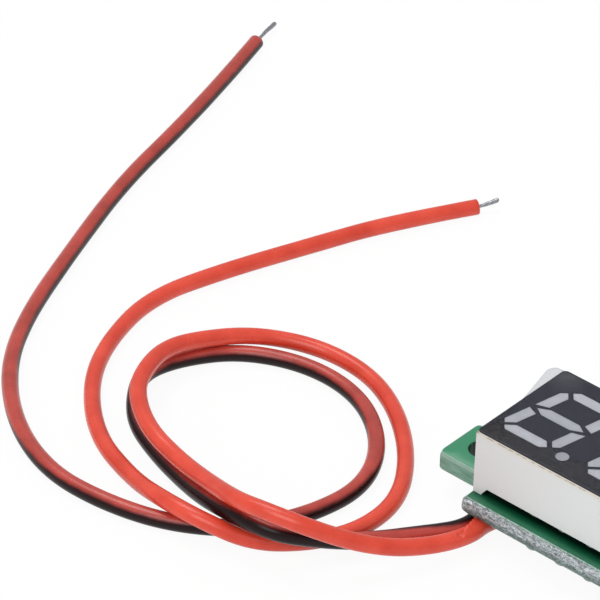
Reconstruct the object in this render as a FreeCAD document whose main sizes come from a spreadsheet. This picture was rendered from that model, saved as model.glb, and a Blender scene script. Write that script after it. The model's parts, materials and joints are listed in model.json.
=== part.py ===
"""Miniature two-wire digital panel meter, a parametric FreeCAD document in millimetres.

A three-digit seven-segment display stands on a green circuit board that has a drilled ear at each end.
The parts that drive it are soldered to the board's back, and two leads run from there over the surface that
it stands on. Frame: the origin is under the middle of the board, at the tips of the display's pins, which
the meter stands on. +X runs along the digits in reading order, +Y towards their tops and +Z out of the face.
"""
import FreeCAD, Part
import math
import os
import re
import Sketcher
from FreeCAD import Placement, Rotation, Vector

doc = FreeCAD.newDocument("panel_meter")

# --------------------------------------------------------------------------------------------------------
# Driving dimensions. Each is written once here, and every piece is tied to the sheet by its alias.
# --------------------------------------------------------------------------------------------------------
SIZES = {
    # circuit board
    "standing_height": (1.8, "board's back above the surface it stands on"),
    "board_length": (22.9, "main board along the digits"),
    "board_width": (12.0, "main board across the digits"),
    "board_thickness": (1.6, "glass-epoxy laminate"),
    "score_height": (0.4, "height of the scored bevel along the back's long edges"),
    "score_depth": (0.28, "depth of that bevel"),
    "lip_bevel": (0.2, "bevel along the front's long edges"),
    "ear_length": (4.75, "ear beyond the main board"),
    "ear_width": (4.7, "ear across the digits"),
    "ear_offset": (0.8, "ear's middle below the board's middle line"),
    "ear_corner": (0.6, "rounding of the ear's outer corners"),
    "ear_hole_radius": (1.03, "drilled fixing hole in each ear"),
    "ear_hole_inset": (2.27, "hole's centre from the ear's end"),
    # display housing
    "display_length": (22.6, "housing along the digits"),
    "display_width": (10.06, "housing across the digits"),
    "display_height": (5.4, "face above the board"),
    "face_layer": (0.15, "dark layer over the housing"),
    "face_corner": (0.4, "rounding of the dark layer's corners"),
    "wall": (0.75, "housing wall"),
    "foot_length": (0.73, "corner foot along the digits"),
    "foot_width": (0.75, "corner foot across the digits"),
    "foot_height": (0.72, "gap between wall and board"),
    "foot_slope": (0.5, "run of the foot's slanted flank"),
    "cavity_depth": (2.4, "open underside, from the board up to the reflector deck"),
    # digits
    "digit_end_gap": (3.77, "outer figures' centres from the housing's ends, before their shift"),
    "digit_shift": (0.2, "middle digit's centre left of the housing's middle"),
    "digit_half_width": (2.53, "half the figure's width, before its slant"),
    "digit_half_height": (3.51, "half the figure's height"),
    "stroke": (0.905, "segment width"),
    "mitre_gap": (0.25, "half the gap where two segments meet at a corner"),
    "corner_cut": (0.98, "outer corner's chamfer, measured along both edges"),
    "middle_reach": (2.08, "middle segment's points from the figure's centre"),
    "middle_flat": (1.3, "middle segment's flat edges from the figure's centre"),
    "waist_outer": (0.27, "upright segment's end above the middle line, outside"),
    "waist_inner": (0.62, "upright segment's end above the middle line, inside"),
    "slant_ratio": (0.202, "sideways shift for each unit of height"),
    "point_across": (2.76, "decimal point right of the figure's centre"),
    "point_below": (3.24, "decimal point below the figure's centre"),
    "point_radius": (0.49, "decimal point"),
    "well_taper": (5.0, "draft of the light wells, degrees"),
    "well_floor_gap": (0.3, "LED chip space under each fill"),
    # inner board of the display
    "led_board_thickness": (1.0, "display's inner board"),
    "led_board_gap": (0.05, "inner board to housing wall"),
    "chip_side": (0.28, "LED chip"),
    "chip_height": (0.15, "LED chip"),
    # display pins and their joints
    "pin_count": (6, "pins in each row"),
    "pin_pitch": (2.54, "from pin to pin"),
    "pin_wall_gap": (0.345, "pins to the housing's long walls"),
    "pin_width": (0.5, "pin along the row"),
    "pin_thickness": (0.25, "pin across the row"),
    "pin_hole_radius": (0.45, "hole for a pin in either board"),
    "solder_gap": (0.02, "solder barrel to hole wall"),
    "joint_radius": (0.9, "solder joint on the board's back"),
    "joint_height": (1.7, "solder joint under the board"),
    "top_joint_radius": (0.62, "solder fillet on top of the board"),
    "top_joint_height": (0.4, "solder fillet on top of the board"),
    # clear film on the face
    "film_thickness": (0.06, "peel-off film"),
    "film_margin": (0.12, "film's edge inside the face's edge"),
    "film_tab_reach": (1.1, "film's tab beyond the face's end"),
    "film_tab_width": (5.0, "tab at its root, across the digits"),
    "film_tab_lean": (4.1, "run of the tab's slanted side across the digits"),
    "film_tab_corner": (0.75, "rounding of the tab's corner"),
    # microcontroller
    "mcu_length": (9.9, "package along the digits"),
    "mcu_height": (1.4, "moulded package"),
    "mcu_standoff": (0.15, "package above the board's back"),
    "package_draft": (6.0, "draft of moulded packages, degrees"),
    "mcu_lead_count": (8, "leads on each side"),
    "mcu_lead_pitch": (1.27, "from lead to lead"),
    "mcu_lead_width": (0.42, "lead"),
    "mcu_lead_gap": (0.05, "between the lead tips and the pins' solder joints"),
    "mcu_lead_reach": (0.95, "from the package's side to a lead's tip"),
    "mcu_foot": (0.55, "flat foot of a lead"),
    "sheet_metal": (0.2, "thickness of package leads"),
    "dimple_radius": (0.35, "first lead's mark"),
    "dimple_depth": (0.1, "first lead's mark"),
    # voltage regulator
    "regulator_x": (9.4, "centre right of the middle"),
    "regulator_y": (3.3, "centre below the middle"),
    "regulator_length": (2.9, "package across the digits"),
    "regulator_width": (1.3, "package along the digits"),
    "regulator_height": (1.0, "moulded package"),
    "regulator_standoff": (0.1, "package above the board's back"),
    "regulator_span": (2.4, "from lead tip to lead tip"),
    "regulator_lead_width": (0.4, "lead"),
    "regulator_lead_pitch": (1.9, "between the two leads of one side"),
    "regulator_foot": (0.3, "flat foot of a lead"),
    # diode
    "diode_x": (9.2, "centre left of the middle"),
    "diode_y": (3.5, "centre above the middle"),
    "diode_length": (2.7, "package along the digits"),
    "diode_width": (1.6, "package across the digits"),
    "diode_height": (1.1, "package"),
    "diode_span": (3.7, "from tab to tab"),
    "diode_standoff": (0.05, "package above the board's back"),
    "diode_lead_width": (0.6, "end lead"),
    "diode_foot": (0.25, "flat foot of an end lead"),
    # chip capacitors and resistors
    "capacitor_x": (6.3, "centres left and right of the middle"),
    "capacitor_length": (2.0, "end to end"),
    "capacitor_width": (1.25, "across"),
    "capacitor_height": (0.9, "above the board's back"),
    "resistor_x": (9.2, "centres left and right of the middle"),
    "resistor_y": (1.55, "left resistor above the middle"),
    "resistor_drop": (0.95, "lower right resistor below the middle"),
    "resistor_pitch": (1.2, "between the two right resistors"),
    "resistor_length": (1.6, "end to end"),
    "resistor_width": (0.8, "across"),
    "resistor_height": (0.45, "above the board's back"),
    "terminal_length": (0.35, "plated end of a chip"),
    # calibration trimmer
    "trimmer_x": (9.25, "centre right of the middle"),
    "trimmer_y": (2.85, "centre above the middle"),
    "trimmer_side": (3.0, "square body"),
    "trimmer_height": (1.25, "body"),
    "trimmer_corner": (0.35, "body's cut corners"),
    "rotor_radius": (1.1, "turning disc"),
    "rotor_gap": (0.06, "disc to body, and shaft to bore"),
    "rotor_recess": (0.45, "depth of the disc's recess"),
    "rotor_proud": (0.12, "disc beyond the body's face"),
    "rotor_shaft_radius": (0.3, "disc's shaft"),
    "rotor_shaft_length": (0.45, "disc's shaft"),
    "slot_length": (1.6, "driver slot"),
    "slot_width": (0.28, "driver slot"),
    "slot_depth": (0.25, "driver slot"),
    "trimmer_tab_width": (0.7, "terminal"),
    "trimmer_tab_reach": (0.3, "terminal beyond the body"),
    "trimmer_tab_thickness": (0.2, "terminal"),
    # leads
    "lead_diameter": (1.3, "insulation"),
    "wire_radius": (0.23, "tinned strands"),
    "red_tip_length": (2.4, "bare end of the red lead"),
    "dark_tip_length": (3.0, "bare end of the two-tone lead"),
    "red_joint_x": (9.3, "red lead's solder joint left of the middle"),
    "dark_joint_x": (11.1, "two-tone lead's solder joint left of the middle"),
    "lead_joint_y": (0.35, "both solder joints below the middle"),
    "lead_gap": (0.02, "lead to the board's back"),
    "strip_length": (1.05, "bare wire from a solder joint's middle to the insulation"),
    "lead_joint_radius": (0.8, "solder joint of a lead"),
    "lead_joint_height": (1.15, "solder joint of a lead"),
}

sheet = doc.addObject("Spreadsheet::Sheet", "Sizes")
for row, (alias, (value, words)) in enumerate(SIZES.items(), 1):
    sheet.set(f"A{row}", words)
    sheet.set(f"B{row}", str(value))
    sheet.setAlias(f"B{row}", alias)
doc.recompute()


def size(alias):
    """A driving dimension, read back from the sheet."""
    return float(sheet.get(alias))


def tied(text):
    """The expression with each alias turned into a reference to the sheet."""
    return re.sub(r"[a-z_]+", lambda word: "Sizes." + word[0] if word[0] in SIZES else word[0], text)


def bind(feature, **expressions):
    """Tie properties to the sheet; a double underscore stands for the dot of a property path."""
    for path, text in expressions.items():
        feature.setExpression(path.replace("__", "."), tied(text))


# Levels that many pieces share, as expressions.
BACK = "standing_height"
FRONT = "(standing_height + board_thickness)"
FACE = "(standing_height + board_thickness + display_height)"
DECK_TOP = "(standing_height + board_thickness + display_height - face_layer)"
DECK_BOTTOM = "(standing_height + board_thickness + cavity_depth)"

# Places that follow from the housing, as expressions.
DIGIT_PITCH = "(display_length / 2 - digit_end_gap)"
PIN_ROW = "(display_width / 2 - wall - pin_wall_gap - pin_thickness / 2)"
MCU_HALF_SPAN = f"({PIN_ROW} - joint_radius - mcu_lead_gap)"
MCU_HALF_WIDTH = f"({MCU_HALF_SPAN} - mcu_lead_reach)"


# --------------------------------------------------------------------------------------------------------
# Ways of making a feature
# --------------------------------------------------------------------------------------------------------
def new_body(label):
    """An empty PartDesign body."""
    body = doc.addObject("PartDesign::Body", label)
    body.Label = label
    return body


def origin_feature(body, role):
    """One of the body's own origin planes or axes."""
    return next(feature for feature in body.Origin.OriginFeatures if feature.Role == role)


def new_sketch(body, name, across="0", along="0", up="0", plane="XY_Plane"):
    """A sketch on one of the body's origin planes, shifted by three expressions."""
    sketch = body.newObject("Sketcher::SketchObject", name)
    sketch.AttachmentSupport = [(origin_feature(body, plane), "")]
    sketch.MapMode = "FlatFace"
    bind(sketch, AttachmentOffset__Base__x=across, AttachmentOffset__Base__y=along,
         AttachmentOffset__Base__z=up)
    return sketch


def rectangle(x, y, width, depth):
    """The corners of a rectangle about x and y."""
    return [(f"{x} + {side} * ({width}) / 2", f"{y} + {end} * ({depth}) / 2")
            for side, end in ((-1, -1), (1, -1), (1, 1), (-1, 1))]


def constrained(number, geometry, vertex, x, y):
    """Constraints that hold a point at two expressions, which are returned with them by name."""
    holds = []
    ties = {}
    for kind, axis, text in (("DistanceX", "x", x), ("DistanceY", "y", y)):
        hold = Sketcher.Constraint(kind, -1, 1, geometry, vertex, 1.0)
        hold.Name = f"point{number}_{axis}"
        holds.append(hold)
        ties[f"Constraints__{hold.Name}"] = text
    return holds, ties


def draw_outlines(sketch, outlines):
    """Closed outlines of straight lines, each corner held at its two expressions."""
    lines = []
    holds = []
    ties = {}
    for corners in outlines:
        first = len(lines)
        many = len(corners)
        ring = [Vector(math.cos(math.tau * turn / many), math.sin(math.tau * turn / many), 0)
                for turn in range(many + 1)]
        for index, (x, y) in enumerate(corners):
            line = first + index
            lines.append(Part.LineSegment(ring[index], ring[index + 1]))
            holds.append(Sketcher.Constraint("Coincident", line, 2, first + (index + 1) % many, 1))
            more_holds, more_ties = constrained(line, line, 1, x, y)
            holds += more_holds
            ties.update(more_ties)
    sketch.addGeometry(lines)
    sketch.addConstraint(holds)
    bind(sketch, **ties)


def draw_circles(sketch, centres, radius):
    """Equal circles, each centre held at its two expressions."""
    for x, y in centres:
        circle = sketch.addGeometry(Part.Circle(Vector(0, 0, 0), Vector(0, 0, 1), 1.0))
        holds, ties = constrained(circle, circle, 3, x, y)
        round_hold = Sketcher.Constraint("Radius", circle, 1.0)
        round_hold.Name = f"radius{circle}"
        sketch.addConstraint(holds + [round_hold])
        bind(sketch, **ties, **{f"Constraints__{round_hold.Name}": radius})


def pad(body, sketch, name, length, down=False, taper=None, both=False):
    """Material from the sketch's plane, upwards unless down or both is set."""
    feature = body.newObject("PartDesign::Pad", name)
    feature.Profile = sketch
    feature.Reversed = down
    feature.Midplane = both
    bind(feature, Length=length)
    if taper:
        bind(feature, TaperAngle=taper)
    return feature


def pocket(body, sketch, name, length, up=False, taper=None, both=False):
    """A cut from the sketch's plane, downwards unless up or both is set, checked to remove material."""
    doc.recompute()
    before = body.Shape.Volume
    feature = body.newObject("PartDesign::Pocket", name)
    feature.Profile = sketch
    feature.Reversed = up
    feature.Midplane = both
    bind(feature, Length=length)
    if taper:
        bind(feature, TaperAngle=taper)
    doc.recompute()
    if body.Shape.Volume >= before:
        raise RuntimeError(f"{body.Label}: {name} cuts nothing")
    return feature


def row_of(body, feature, name, axis, length, count):
    """Copies of the feature along one of the body's axes, the last at the given length from the first."""
    pattern = body.newObject("PartDesign::LinearPattern", name)
    pattern.Originals = [feature]
    pattern.Direction = (origin_feature(body, axis), [""])
    bind(pattern, Length=length, Occurrences=count)
    body.Tip = pattern
    doc.recompute()
    return pattern


def revolve(body, name, outline, x, y, cut=False):
    """Material, or a cut, from a half outline turned about the upright line at x and y."""
    sketch = new_sketch(body, f"{name}_profile", across=x, up=f"-({y})", plane="XZ_Plane")
    draw_outlines(sketch, [outline])
    feature = body.newObject("PartDesign::Groove" if cut else "PartDesign::Revolution", name)
    feature.Profile = sketch
    feature.ReferenceAxis = (sketch, ["V_Axis"])
    feature.Angle = 360
    return feature


def round_upright_edges(body, name, radius, test):
    """A fillet on the body's upright edges whose middle passes the test."""
    doc.recompute()
    base = body.Tip
    names = [f"Edge{number}" for number, edge in enumerate(base.Shape.Edges, 1)
             if edge.BoundBox.ZLength > edge.BoundBox.DiagonalLength * 0.999 and test(edge.CenterOfMass)]
    feature = body.newObject("PartDesign::Fillet", name)
    feature.Base = (base, names)
    bind(feature, Radius=radius)
    return feature


def box(name, x, y, bottom, length, width, height):
    """A Part::Box about x and y, standing on bottom."""
    feature = doc.addObject("Part::Box", name)
    bind(feature, Length=length, Width=width, Height=height)
    bind(feature, Placement__Base__x=f"{x} - ({length}) / 2", Placement__Base__y=f"{y} - ({width}) / 2",
         Placement__Base__z=bottom)
    return feature


def gull_wing(side, half_body, half_span, foot, middle):
    """The side view of a bent package lead, its foot flat on the board's back; side is 1 or -1."""
    knee = f"({half_body} + sheet_metal)"
    heel = f"({half_span} - {foot})"
    corners = [
        (half_body, f"{middle} - sheet_metal / 2"),
        (f"{knee} + sheet_metal / 2", f"{middle} - sheet_metal / 2"),
        (f"{heel} + sheet_metal / 2", f"{BACK} - sheet_metal"), (half_span, f"{BACK} - sheet_metal"),
        (half_span, BACK), (f"{heel} - sheet_metal / 2", BACK),
        (f"{knee} - sheet_metal / 2", f"{middle} + sheet_metal / 2"),
        (half_body, f"{middle} + sheet_metal / 2")]
    return [(f"{side} * ({across})", level) for across, level in corners]


def moulded_package(label, x, y, length, width, height, standoff):
    """A package under the board, its sides drafted both ways from the plane of its leads."""
    body = new_body(label)
    middle = f"({BACK} - {standoff} - {height} / 2)"
    sketch = new_sketch(body, f"{label}_outline", across=x, along=y, up=middle)
    draw_outlines(sketch, [rectangle("0", "0", length, width)])
    pad(body, sketch, f"{label}_upper", f"{height} / 2", taper="-package_draft")
    pad(body, sketch, f"{label}_lower", f"{height} / 2", down=True, taper="-package_draft")
    return body, middle


pieces = []

# --------------------------------------------------------------------------------------------------------
# Circuit board: one blank for the main board and both ears, scored and snapped along its long edges
# --------------------------------------------------------------------------------------------------------
PIN_COLUMNS = [f"{column} * pin_pitch" for column in (-2.5, -1.5, -0.5, 0.5, 1.5, 2.5)]

board = new_body("circuit_board")
main_sketch = new_sketch(board, "main_outline", up=BACK)
draw_outlines(main_sketch, [rectangle("0", "0", "board_length", "board_width")])
pad(board, main_sketch, "main_board", "board_thickness")
ear_sketch = new_sketch(board, "ear_outline", along="-ear_offset", up=BACK)
draw_outlines(ear_sketch, [rectangle("0", "0", "board_length + 2 * ear_length", "ear_width")])
pad(board, ear_sketch, "ears", "board_thickness")
main_end = size("board_length") / 2
round_upright_edges(board, "ear_corners", "ear_corner", lambda middle: abs(middle.x) > main_end + 0.01)

score_sketch = new_sketch(board, "score_outline", plane="YZ_Plane")
draw_outlines(score_sketch, [outline for side in (-1, 1) for outline in (
    [(f"{side} * (board_width / 2 - score_depth)", BACK),
     (f"{side} * board_width / 2", f"{BACK} + score_height"),
     (f"{side} * board_width", f"{BACK} + score_height"), (f"{side} * board_width", BACK)],
    [(f"{side} * (board_width / 2 - lip_bevel)", FRONT),
     (f"{side} * board_width / 2", f"{FRONT} - lip_bevel"),
     (f"{side} * board_width", f"{FRONT} - lip_bevel"), (f"{side} * board_width", FRONT)])])
pocket(board, score_sketch, "scored_edges", "2 * board_length", both=True)

ear_hole_x = "(board_length / 2 + ear_length - ear_hole_inset)"
hole_sketch = new_sketch(board, "ear_hole_plan", up=FRONT)
draw_circles(hole_sketch, [(f"{side} * {ear_hole_x}", "-ear_offset") for side in (-1, 1)], "ear_hole_radius")
pocket(board, hole_sketch, "ear_holes", "board_thickness")
pin_hole_sketch = new_sketch(board, "pin_hole_plan", up=FRONT)
draw_circles(pin_hole_sketch, [
    (column, f"{side} * {PIN_ROW}") for side in (-1, 1) for column in PIN_COLUMNS], "pin_hole_radius")
pocket(board, pin_hole_sketch, "pin_holes", "board_thickness")
pieces.append(board)


# --------------------------------------------------------------------------------------------------------
# Digits: one set of outlines for the light wells, the openings in the dark layer and the fills
# --------------------------------------------------------------------------------------------------------
DIGITS = (("left", -1), ("middle", 0), ("right", 1))
WELL_DEPTH = "(display_height - cavity_depth + wall / 2)"
FILL_DEPTH = "(display_height - cavity_depth - well_floor_gap)"


def digit_x(step):
    """A digit's centre, counted in steps from the middle one."""
    return f"({step} * {DIGIT_PITCH} - digit_shift)"


def leaned(across, rise):
    """A point of a digit, moved sideways by the figures' slant."""
    return f"{across} + slant_ratio * {rise}", rise


def end_segment(end):
    """The top (1) or bottom (-1) segment: the outer corners are cut and the ends mitred."""
    mitre = ("(corner_cut + mitre_gap) / 2", "(corner_cut - mitre_gap) / 2")
    half = [("corner_cut", "0"), mitre, ("(stroke + mitre_gap)", "stroke")]
    corners = [(1, *corner) for corner in half] + [(-1, *corner) for corner in reversed(half)]
    return [leaned(f"{side} * (digit_half_width - {inset})", f"{end} * (digit_half_height - {drop})")
            for side, inset, drop in corners]


def side_segment(side, end):
    """One of the four upright segments, mitred towards the corner and cut slantwise at the waist."""
    mitre = ("(corner_cut - mitre_gap) / 2", "(digit_half_height - (corner_cut + mitre_gap) / 2)")
    corners = [("0", "waist_outer"), ("0", "(digit_half_height - corner_cut)"), mitre,
               ("stroke", "(digit_half_height - stroke - mitre_gap)"), ("stroke", "waist_inner")]
    return [leaned(f"{side} * (digit_half_width - {inset})", f"{end} * {rise}") for inset, rise in corners]


def segment_outlines():
    """The seven segments of one digit, about the figure's centre."""
    middle = [leaned(f"{side} * {across}", f"{end} * {rise}") for side, across, end, rise in (
        (1, "middle_reach", 1, "0"), (1, "middle_flat", 1, "stroke / 2"),
        (-1, "middle_flat", 1, "stroke / 2"), (-1, "middle_reach", 1, "0"),
        (-1, "middle_flat", -1, "stroke / 2"), (1, "middle_flat", -1, "stroke / 2"))]
    return [end_segment(1), end_segment(-1), middle] + [side_segment(side, end) for side in (-1, 1)
                                                        for end in (-1, 1)]


def point_row(body, name, depth, cut=False):
    """The round decimal points, one right of each digit's foot, tapering down from the face."""
    outline = [("0", FACE), ("point_radius", FACE), (f"point_radius - {depth} * tan(well_taper * 1deg)",
                                                     f"{FACE} - {depth}"), ("0", f"{FACE} - {depth}")]
    point = revolve(body, name, outline, f"{digit_x(-1)} + point_across", "-point_below", cut)
    row_of(body, point, f"{name}_row", "X_Axis", f"2 * {DIGIT_PITCH}", str(len(DIGITS)))


def cut_figures(body):
    """The openings of all digits and decimal points, tapering down from the face."""
    sketch = new_sketch(body, f"{body.Label}_figures", across=digit_x(-1), up=FACE)
    draw_outlines(sketch, segment_outlines())
    figure = pocket(body, sketch, f"{body.Label}_segments", WELL_DEPTH, taper="-well_taper")
    row_of(body, figure, f"{body.Label}_segment_row", "X_Axis", f"2 * {DIGIT_PITCH}", str(len(DIGITS)))
    point_row(body, f"{body.Label}_point", WELL_DEPTH, cut=True)


# --------------------------------------------------------------------------------------------------------
# Display housing: a moulded reflector on corner feet, open below, with a light well for every segment
# --------------------------------------------------------------------------------------------------------
housing = new_body("display_housing")
block_sketch = new_sketch(housing, "block_outline", up=FRONT)
draw_outlines(block_sketch, [rectangle("0", "0", "display_length", "display_width")])
pad(housing, block_sketch, "block", "display_height - face_layer")
side_gap = new_sketch(housing, "side_gap", plane="XZ_Plane")
draw_outlines(side_gap, [[
    ("-(display_length / 2 - foot_length)", FRONT), ("display_length / 2 - foot_length", FRONT),
    ("display_length / 2 - foot_length - foot_slope", f"{FRONT} + foot_height"),
    ("-(display_length / 2 - foot_length - foot_slope)", f"{FRONT} + foot_height")]])
pocket(housing, side_gap, "gaps_under_sides", "2 * display_width", both=True)
end_gap = new_sketch(housing, "end_gap", plane="YZ_Plane")
draw_outlines(end_gap, [rectangle("0", f"({FRONT} + foot_height / 2)", "display_width - 2 * foot_width",
                                  "foot_height")])
pocket(housing, end_gap, "gaps_under_ends", "2 * display_length", both=True)
cavity_sketch = new_sketch(housing, "cavity_outline", up=FRONT)
draw_outlines(cavity_sketch, [rectangle("0", "0", "display_length - 2 * wall", "display_width - 2 * wall")])
pocket(housing, cavity_sketch, "cavity", "cavity_depth", up=True)
cut_figures(housing)
pieces.append(housing)

face = new_body("display_face")
face_sketch = new_sketch(face, "face_outline", up=DECK_TOP)
draw_outlines(face_sketch, [rectangle("0", "0", "display_length", "display_width")])
pad(face, face_sketch, "face_sheet", "face_layer")
round_upright_edges(face, "face_corners", "face_corner", lambda middle: True)
cut_figures(face)
pieces.append(face)

# Light-guide fills: flush with the face, seated on the wells' tapered walls and clear of the LED chips below
for name, step in DIGITS:
    fill = new_body(f"{name}_digit_segments")
    fill_sketch = new_sketch(fill, f"{name}_figure", across=digit_x(step), up=FACE)
    draw_outlines(fill_sketch, segment_outlines())
    pad(fill, fill_sketch, f"{name}_fill", FILL_DEPTH, down=True, taper="-well_taper")
    pieces.append(fill)
points_fill = new_body("decimal_points")
point_row(points_fill, "point_fill", FILL_DEPTH)
pieces.append(points_fill)

# --------------------------------------------------------------------------------------------------------
# Inside of the display: the LED board closes the cavity under the reflector deck
# --------------------------------------------------------------------------------------------------------
led_board = new_body("led_board")
led_sketch = new_sketch(led_board, "led_board_outline", up=DECK_BOTTOM)
draw_outlines(led_sketch, [rectangle("0", "0", "display_length - 2 * (wall + led_board_gap)",
                                     "display_width - 2 * (wall + led_board_gap)")])
pad(led_board, led_sketch, "led_board_sheet", "led_board_thickness", down=True)
pieces.append(led_board)

chips = new_body("led_chips")
chip_sketch = new_sketch(chips, "chip_plan", across=digit_x(-1), up=DECK_BOTTOM)
chip_spots = [leaned("0", f"{end} * (digit_half_height - stroke / 2)") for end in (-1, 0, 1)]
chip_spots[1] = ("0", "0")
chip_spots += [leaned(f"{side} * (digit_half_width - stroke / 2)", f"{end} * digit_half_height / 2")
               for side in (-1, 1) for end in (-1, 1)]
chip_spots += [("point_across", "-point_below")]
draw_outlines(chip_sketch, [rectangle(x, y, "chip_side", "chip_side") for x, y in chip_spots])
chip_pad = pad(chips, chip_sketch, "chip_set", "chip_height")
row_of(chips, chip_pad, "chip_row", "X_Axis", f"2 * {DIGIT_PITCH}", str(len(DIGITS)))
pieces.append(chips)

# --------------------------------------------------------------------------------------------------------
# Display pins through the board, and the solder that fills each hole and climbs each pin
# --------------------------------------------------------------------------------------------------------
for name, side in (("upper", 1), ("lower", -1)):
    pins = new_body(f"{name}_pins")
    pin_sketch = new_sketch(pins, f"{name}_pin_plan")
    pin_outlines = [rectangle(column, f"{side} * {PIN_ROW}", "pin_width", "pin_thickness")
                    for column in PIN_COLUMNS]
    draw_outlines(pin_sketch, pin_outlines)
    pad(pins, pin_sketch, f"{name}_pin_row", f"{DECK_BOTTOM} - led_board_thickness")
    pieces.append(pins)

    joints = new_body(f"{name}_pin_joints")
    joint = revolve(joints, f"{name}_joint", [
        ("0", f"{BACK} - joint_height"), ("joint_radius * 0.36", f"{BACK} - joint_height"),
        ("joint_radius * 0.7", f"{BACK} - joint_height * 0.78"),
        ("joint_radius * 0.93", f"{BACK} - joint_height * 0.45"), ("joint_radius", BACK),
        ("pin_hole_radius - solder_gap", BACK), ("pin_hole_radius - solder_gap", FRONT),
        ("top_joint_radius", FRONT), ("top_joint_radius * 0.7", f"{FRONT} + top_joint_height * 0.35"),
        ("pin_width * 0.65", f"{FRONT} + top_joint_height"), ("0", f"{FRONT} + top_joint_height")],
        PIN_COLUMNS[0], f"{side} * {PIN_ROW}")
    row_of(joints, joint, f"{name}_joint_row", "X_Axis", "5 * pin_pitch", str(len(PIN_COLUMNS)))
    slot_sketch = new_sketch(joints, f"{name}_pin_slots")
    draw_outlines(slot_sketch, pin_outlines)
    pocket(joints, slot_sketch, f"{name}_slots", f"{DECK_BOTTOM}", up=True)
    pieces.append(joints)

# --------------------------------------------------------------------------------------------------------
# Clear film over the face, with a tab that overhangs the end at the far left corner
# --------------------------------------------------------------------------------------------------------
film = new_body("protective_film")
film_sketch = new_sketch(film, "film_outline", up=FACE)
film_left = "-(display_length / 2 - film_margin)"
film_top = "(display_width / 2 - film_margin)"
draw_outlines(film_sketch, [[
    (film_left, f"-{film_top}"), (f"-{film_left}", f"-{film_top}"), (f"-{film_left}", film_top),
    (f"-(display_length / 2 + film_tab_reach)", film_top),
    (f"-(display_length / 2 + film_tab_reach)", f"{film_top} - film_tab_width + film_tab_lean"),
    (film_left, f"{film_top} - film_tab_width")]])
pad(film, film_sketch, "film_sheet", "film_thickness")
film_end = -(size("display_length") / 2 + size("film_tab_reach") - 0.01)
round_upright_edges(film, "film_tab_rounding", "film_tab_corner",
                    lambda middle: middle.x < film_end and middle.y > size("display_width") / 2 - 0.5)
pieces.append(film)

# --------------------------------------------------------------------------------------------------------
# Parts soldered to the board's back
# --------------------------------------------------------------------------------------------------------
mcu, mcu_middle = moulded_package(
    "microcontroller", "0", "0", "mcu_length", f"2 * {MCU_HALF_WIDTH}", "mcu_height", "mcu_standoff")
dimple_sketch = new_sketch(mcu, "dimple_plan", up=f"{BACK} - mcu_standoff - mcu_height")
draw_circles(dimple_sketch, [
    ("-(mcu_length / 2 - 3 * dimple_radius)", f"{MCU_HALF_WIDTH} - 3 * dimple_radius")], "dimple_radius")
pocket(mcu, dimple_sketch, "dimple", "dimple_depth", up=True)
pieces.append(mcu)

mcu_leads = new_body("microcontroller_leads")
mcu_lead_sketch = new_sketch(mcu_leads, "mcu_lead_profile", up="-(mcu_lead_count - 1) * mcu_lead_pitch / 2",
                             plane="YZ_Plane")
draw_outlines(mcu_lead_sketch, [
    gull_wing(side, MCU_HALF_WIDTH, MCU_HALF_SPAN, "mcu_foot", mcu_middle) for side in (-1, 1)])
mcu_lead = pad(mcu_leads, mcu_lead_sketch, "mcu_lead", "mcu_lead_width", both=True)
row_of(mcu_leads, mcu_lead, "mcu_lead_row", "X_Axis", "(mcu_lead_count - 1) * mcu_lead_pitch",
       "mcu_lead_count")
pieces.append(mcu_leads)

regulator, regulator_middle = moulded_package("voltage_regulator", "regulator_x", "-regulator_y",
                                              "regulator_width", "regulator_length", "regulator_height",
                                              "regulator_standoff")
pieces.append(regulator)
regulator_leads = new_body("regulator_leads")
for name, side, drop, count in (("pair", 1, "regulator_lead_pitch / 2", "2"), ("single", -1, "0", "1")):
    lead_sketch = new_sketch(regulator_leads, f"{name}_profile", across="regulator_x",
                             up=f"regulator_y + {drop}", plane="XZ_Plane")
    draw_outlines(lead_sketch, [gull_wing(
        side, "regulator_width / 2", "regulator_span / 2", "regulator_foot", regulator_middle)])
    bent_lead = pad(regulator_leads, lead_sketch, f"{name}_lead", "regulator_lead_width", both=True)
    if name == "pair":
        row_of(regulator_leads, bent_lead, f"{name}_row", "Y_Axis", "regulator_lead_pitch", count)
pieces.append(regulator_leads)

diode, diode_middle = moulded_package(
    "protection_diode", "-diode_x", "diode_y", "diode_length", "diode_width", "diode_height",
    "diode_standoff")
pieces.append(diode)
diode_leads = new_body("diode_terminals")
diode_sketch = new_sketch(diode_leads, "diode_profile", across="-diode_x", up="-diode_y", plane="XZ_Plane")
draw_outlines(diode_sketch, [
    gull_wing(side, "diode_length / 2", "diode_span / 2", "diode_foot", diode_middle) for side in (-1, 1)])
pad(diode_leads, diode_sketch, "diode_leads", "diode_lead_width", both=True)
pieces.append(diode_leads)

# Chip capacitors stand across the digits, chip resistors along them
chip_bodies = {"capacitor": [("-capacitor_x", "0"), ("capacitor_x", "0")],
               "resistor": [("-resistor_x", "resistor_y"), ("resistor_x", "-resistor_drop"),
                            ("resistor_x", "resistor_pitch - resistor_drop")]}
chip_groups = {"capacitor": [], "resistor": [], "terminal": []}
for kind, spots in chip_bodies.items():
    for number, (x, y) in enumerate(spots):
        core = f"({kind}_length - 2 * terminal_length)"
        reach = f"({kind}_length - terminal_length) / 2"
        bottom = f"{BACK} - {kind}_height"
        along = (core, f"{kind}_width") if kind == "resistor" else (f"{kind}_width", core)
        chip_groups[kind].append(box(f"{kind}_{number}", x, y, bottom, *along, f"{kind}_height"))
        for side in (-1, 1):
            if kind == "resistor":
                spot = (f"{x} + {side} * {reach}", y, bottom, "terminal_length", f"{kind}_width")
            else:
                spot = (x, f"{y} + {side} * {reach}", bottom, f"{kind}_width", "terminal_length")
            chip_groups["terminal"].append(box(f"{kind}_{number}_end", *spot, f"{kind}_height"))
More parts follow.
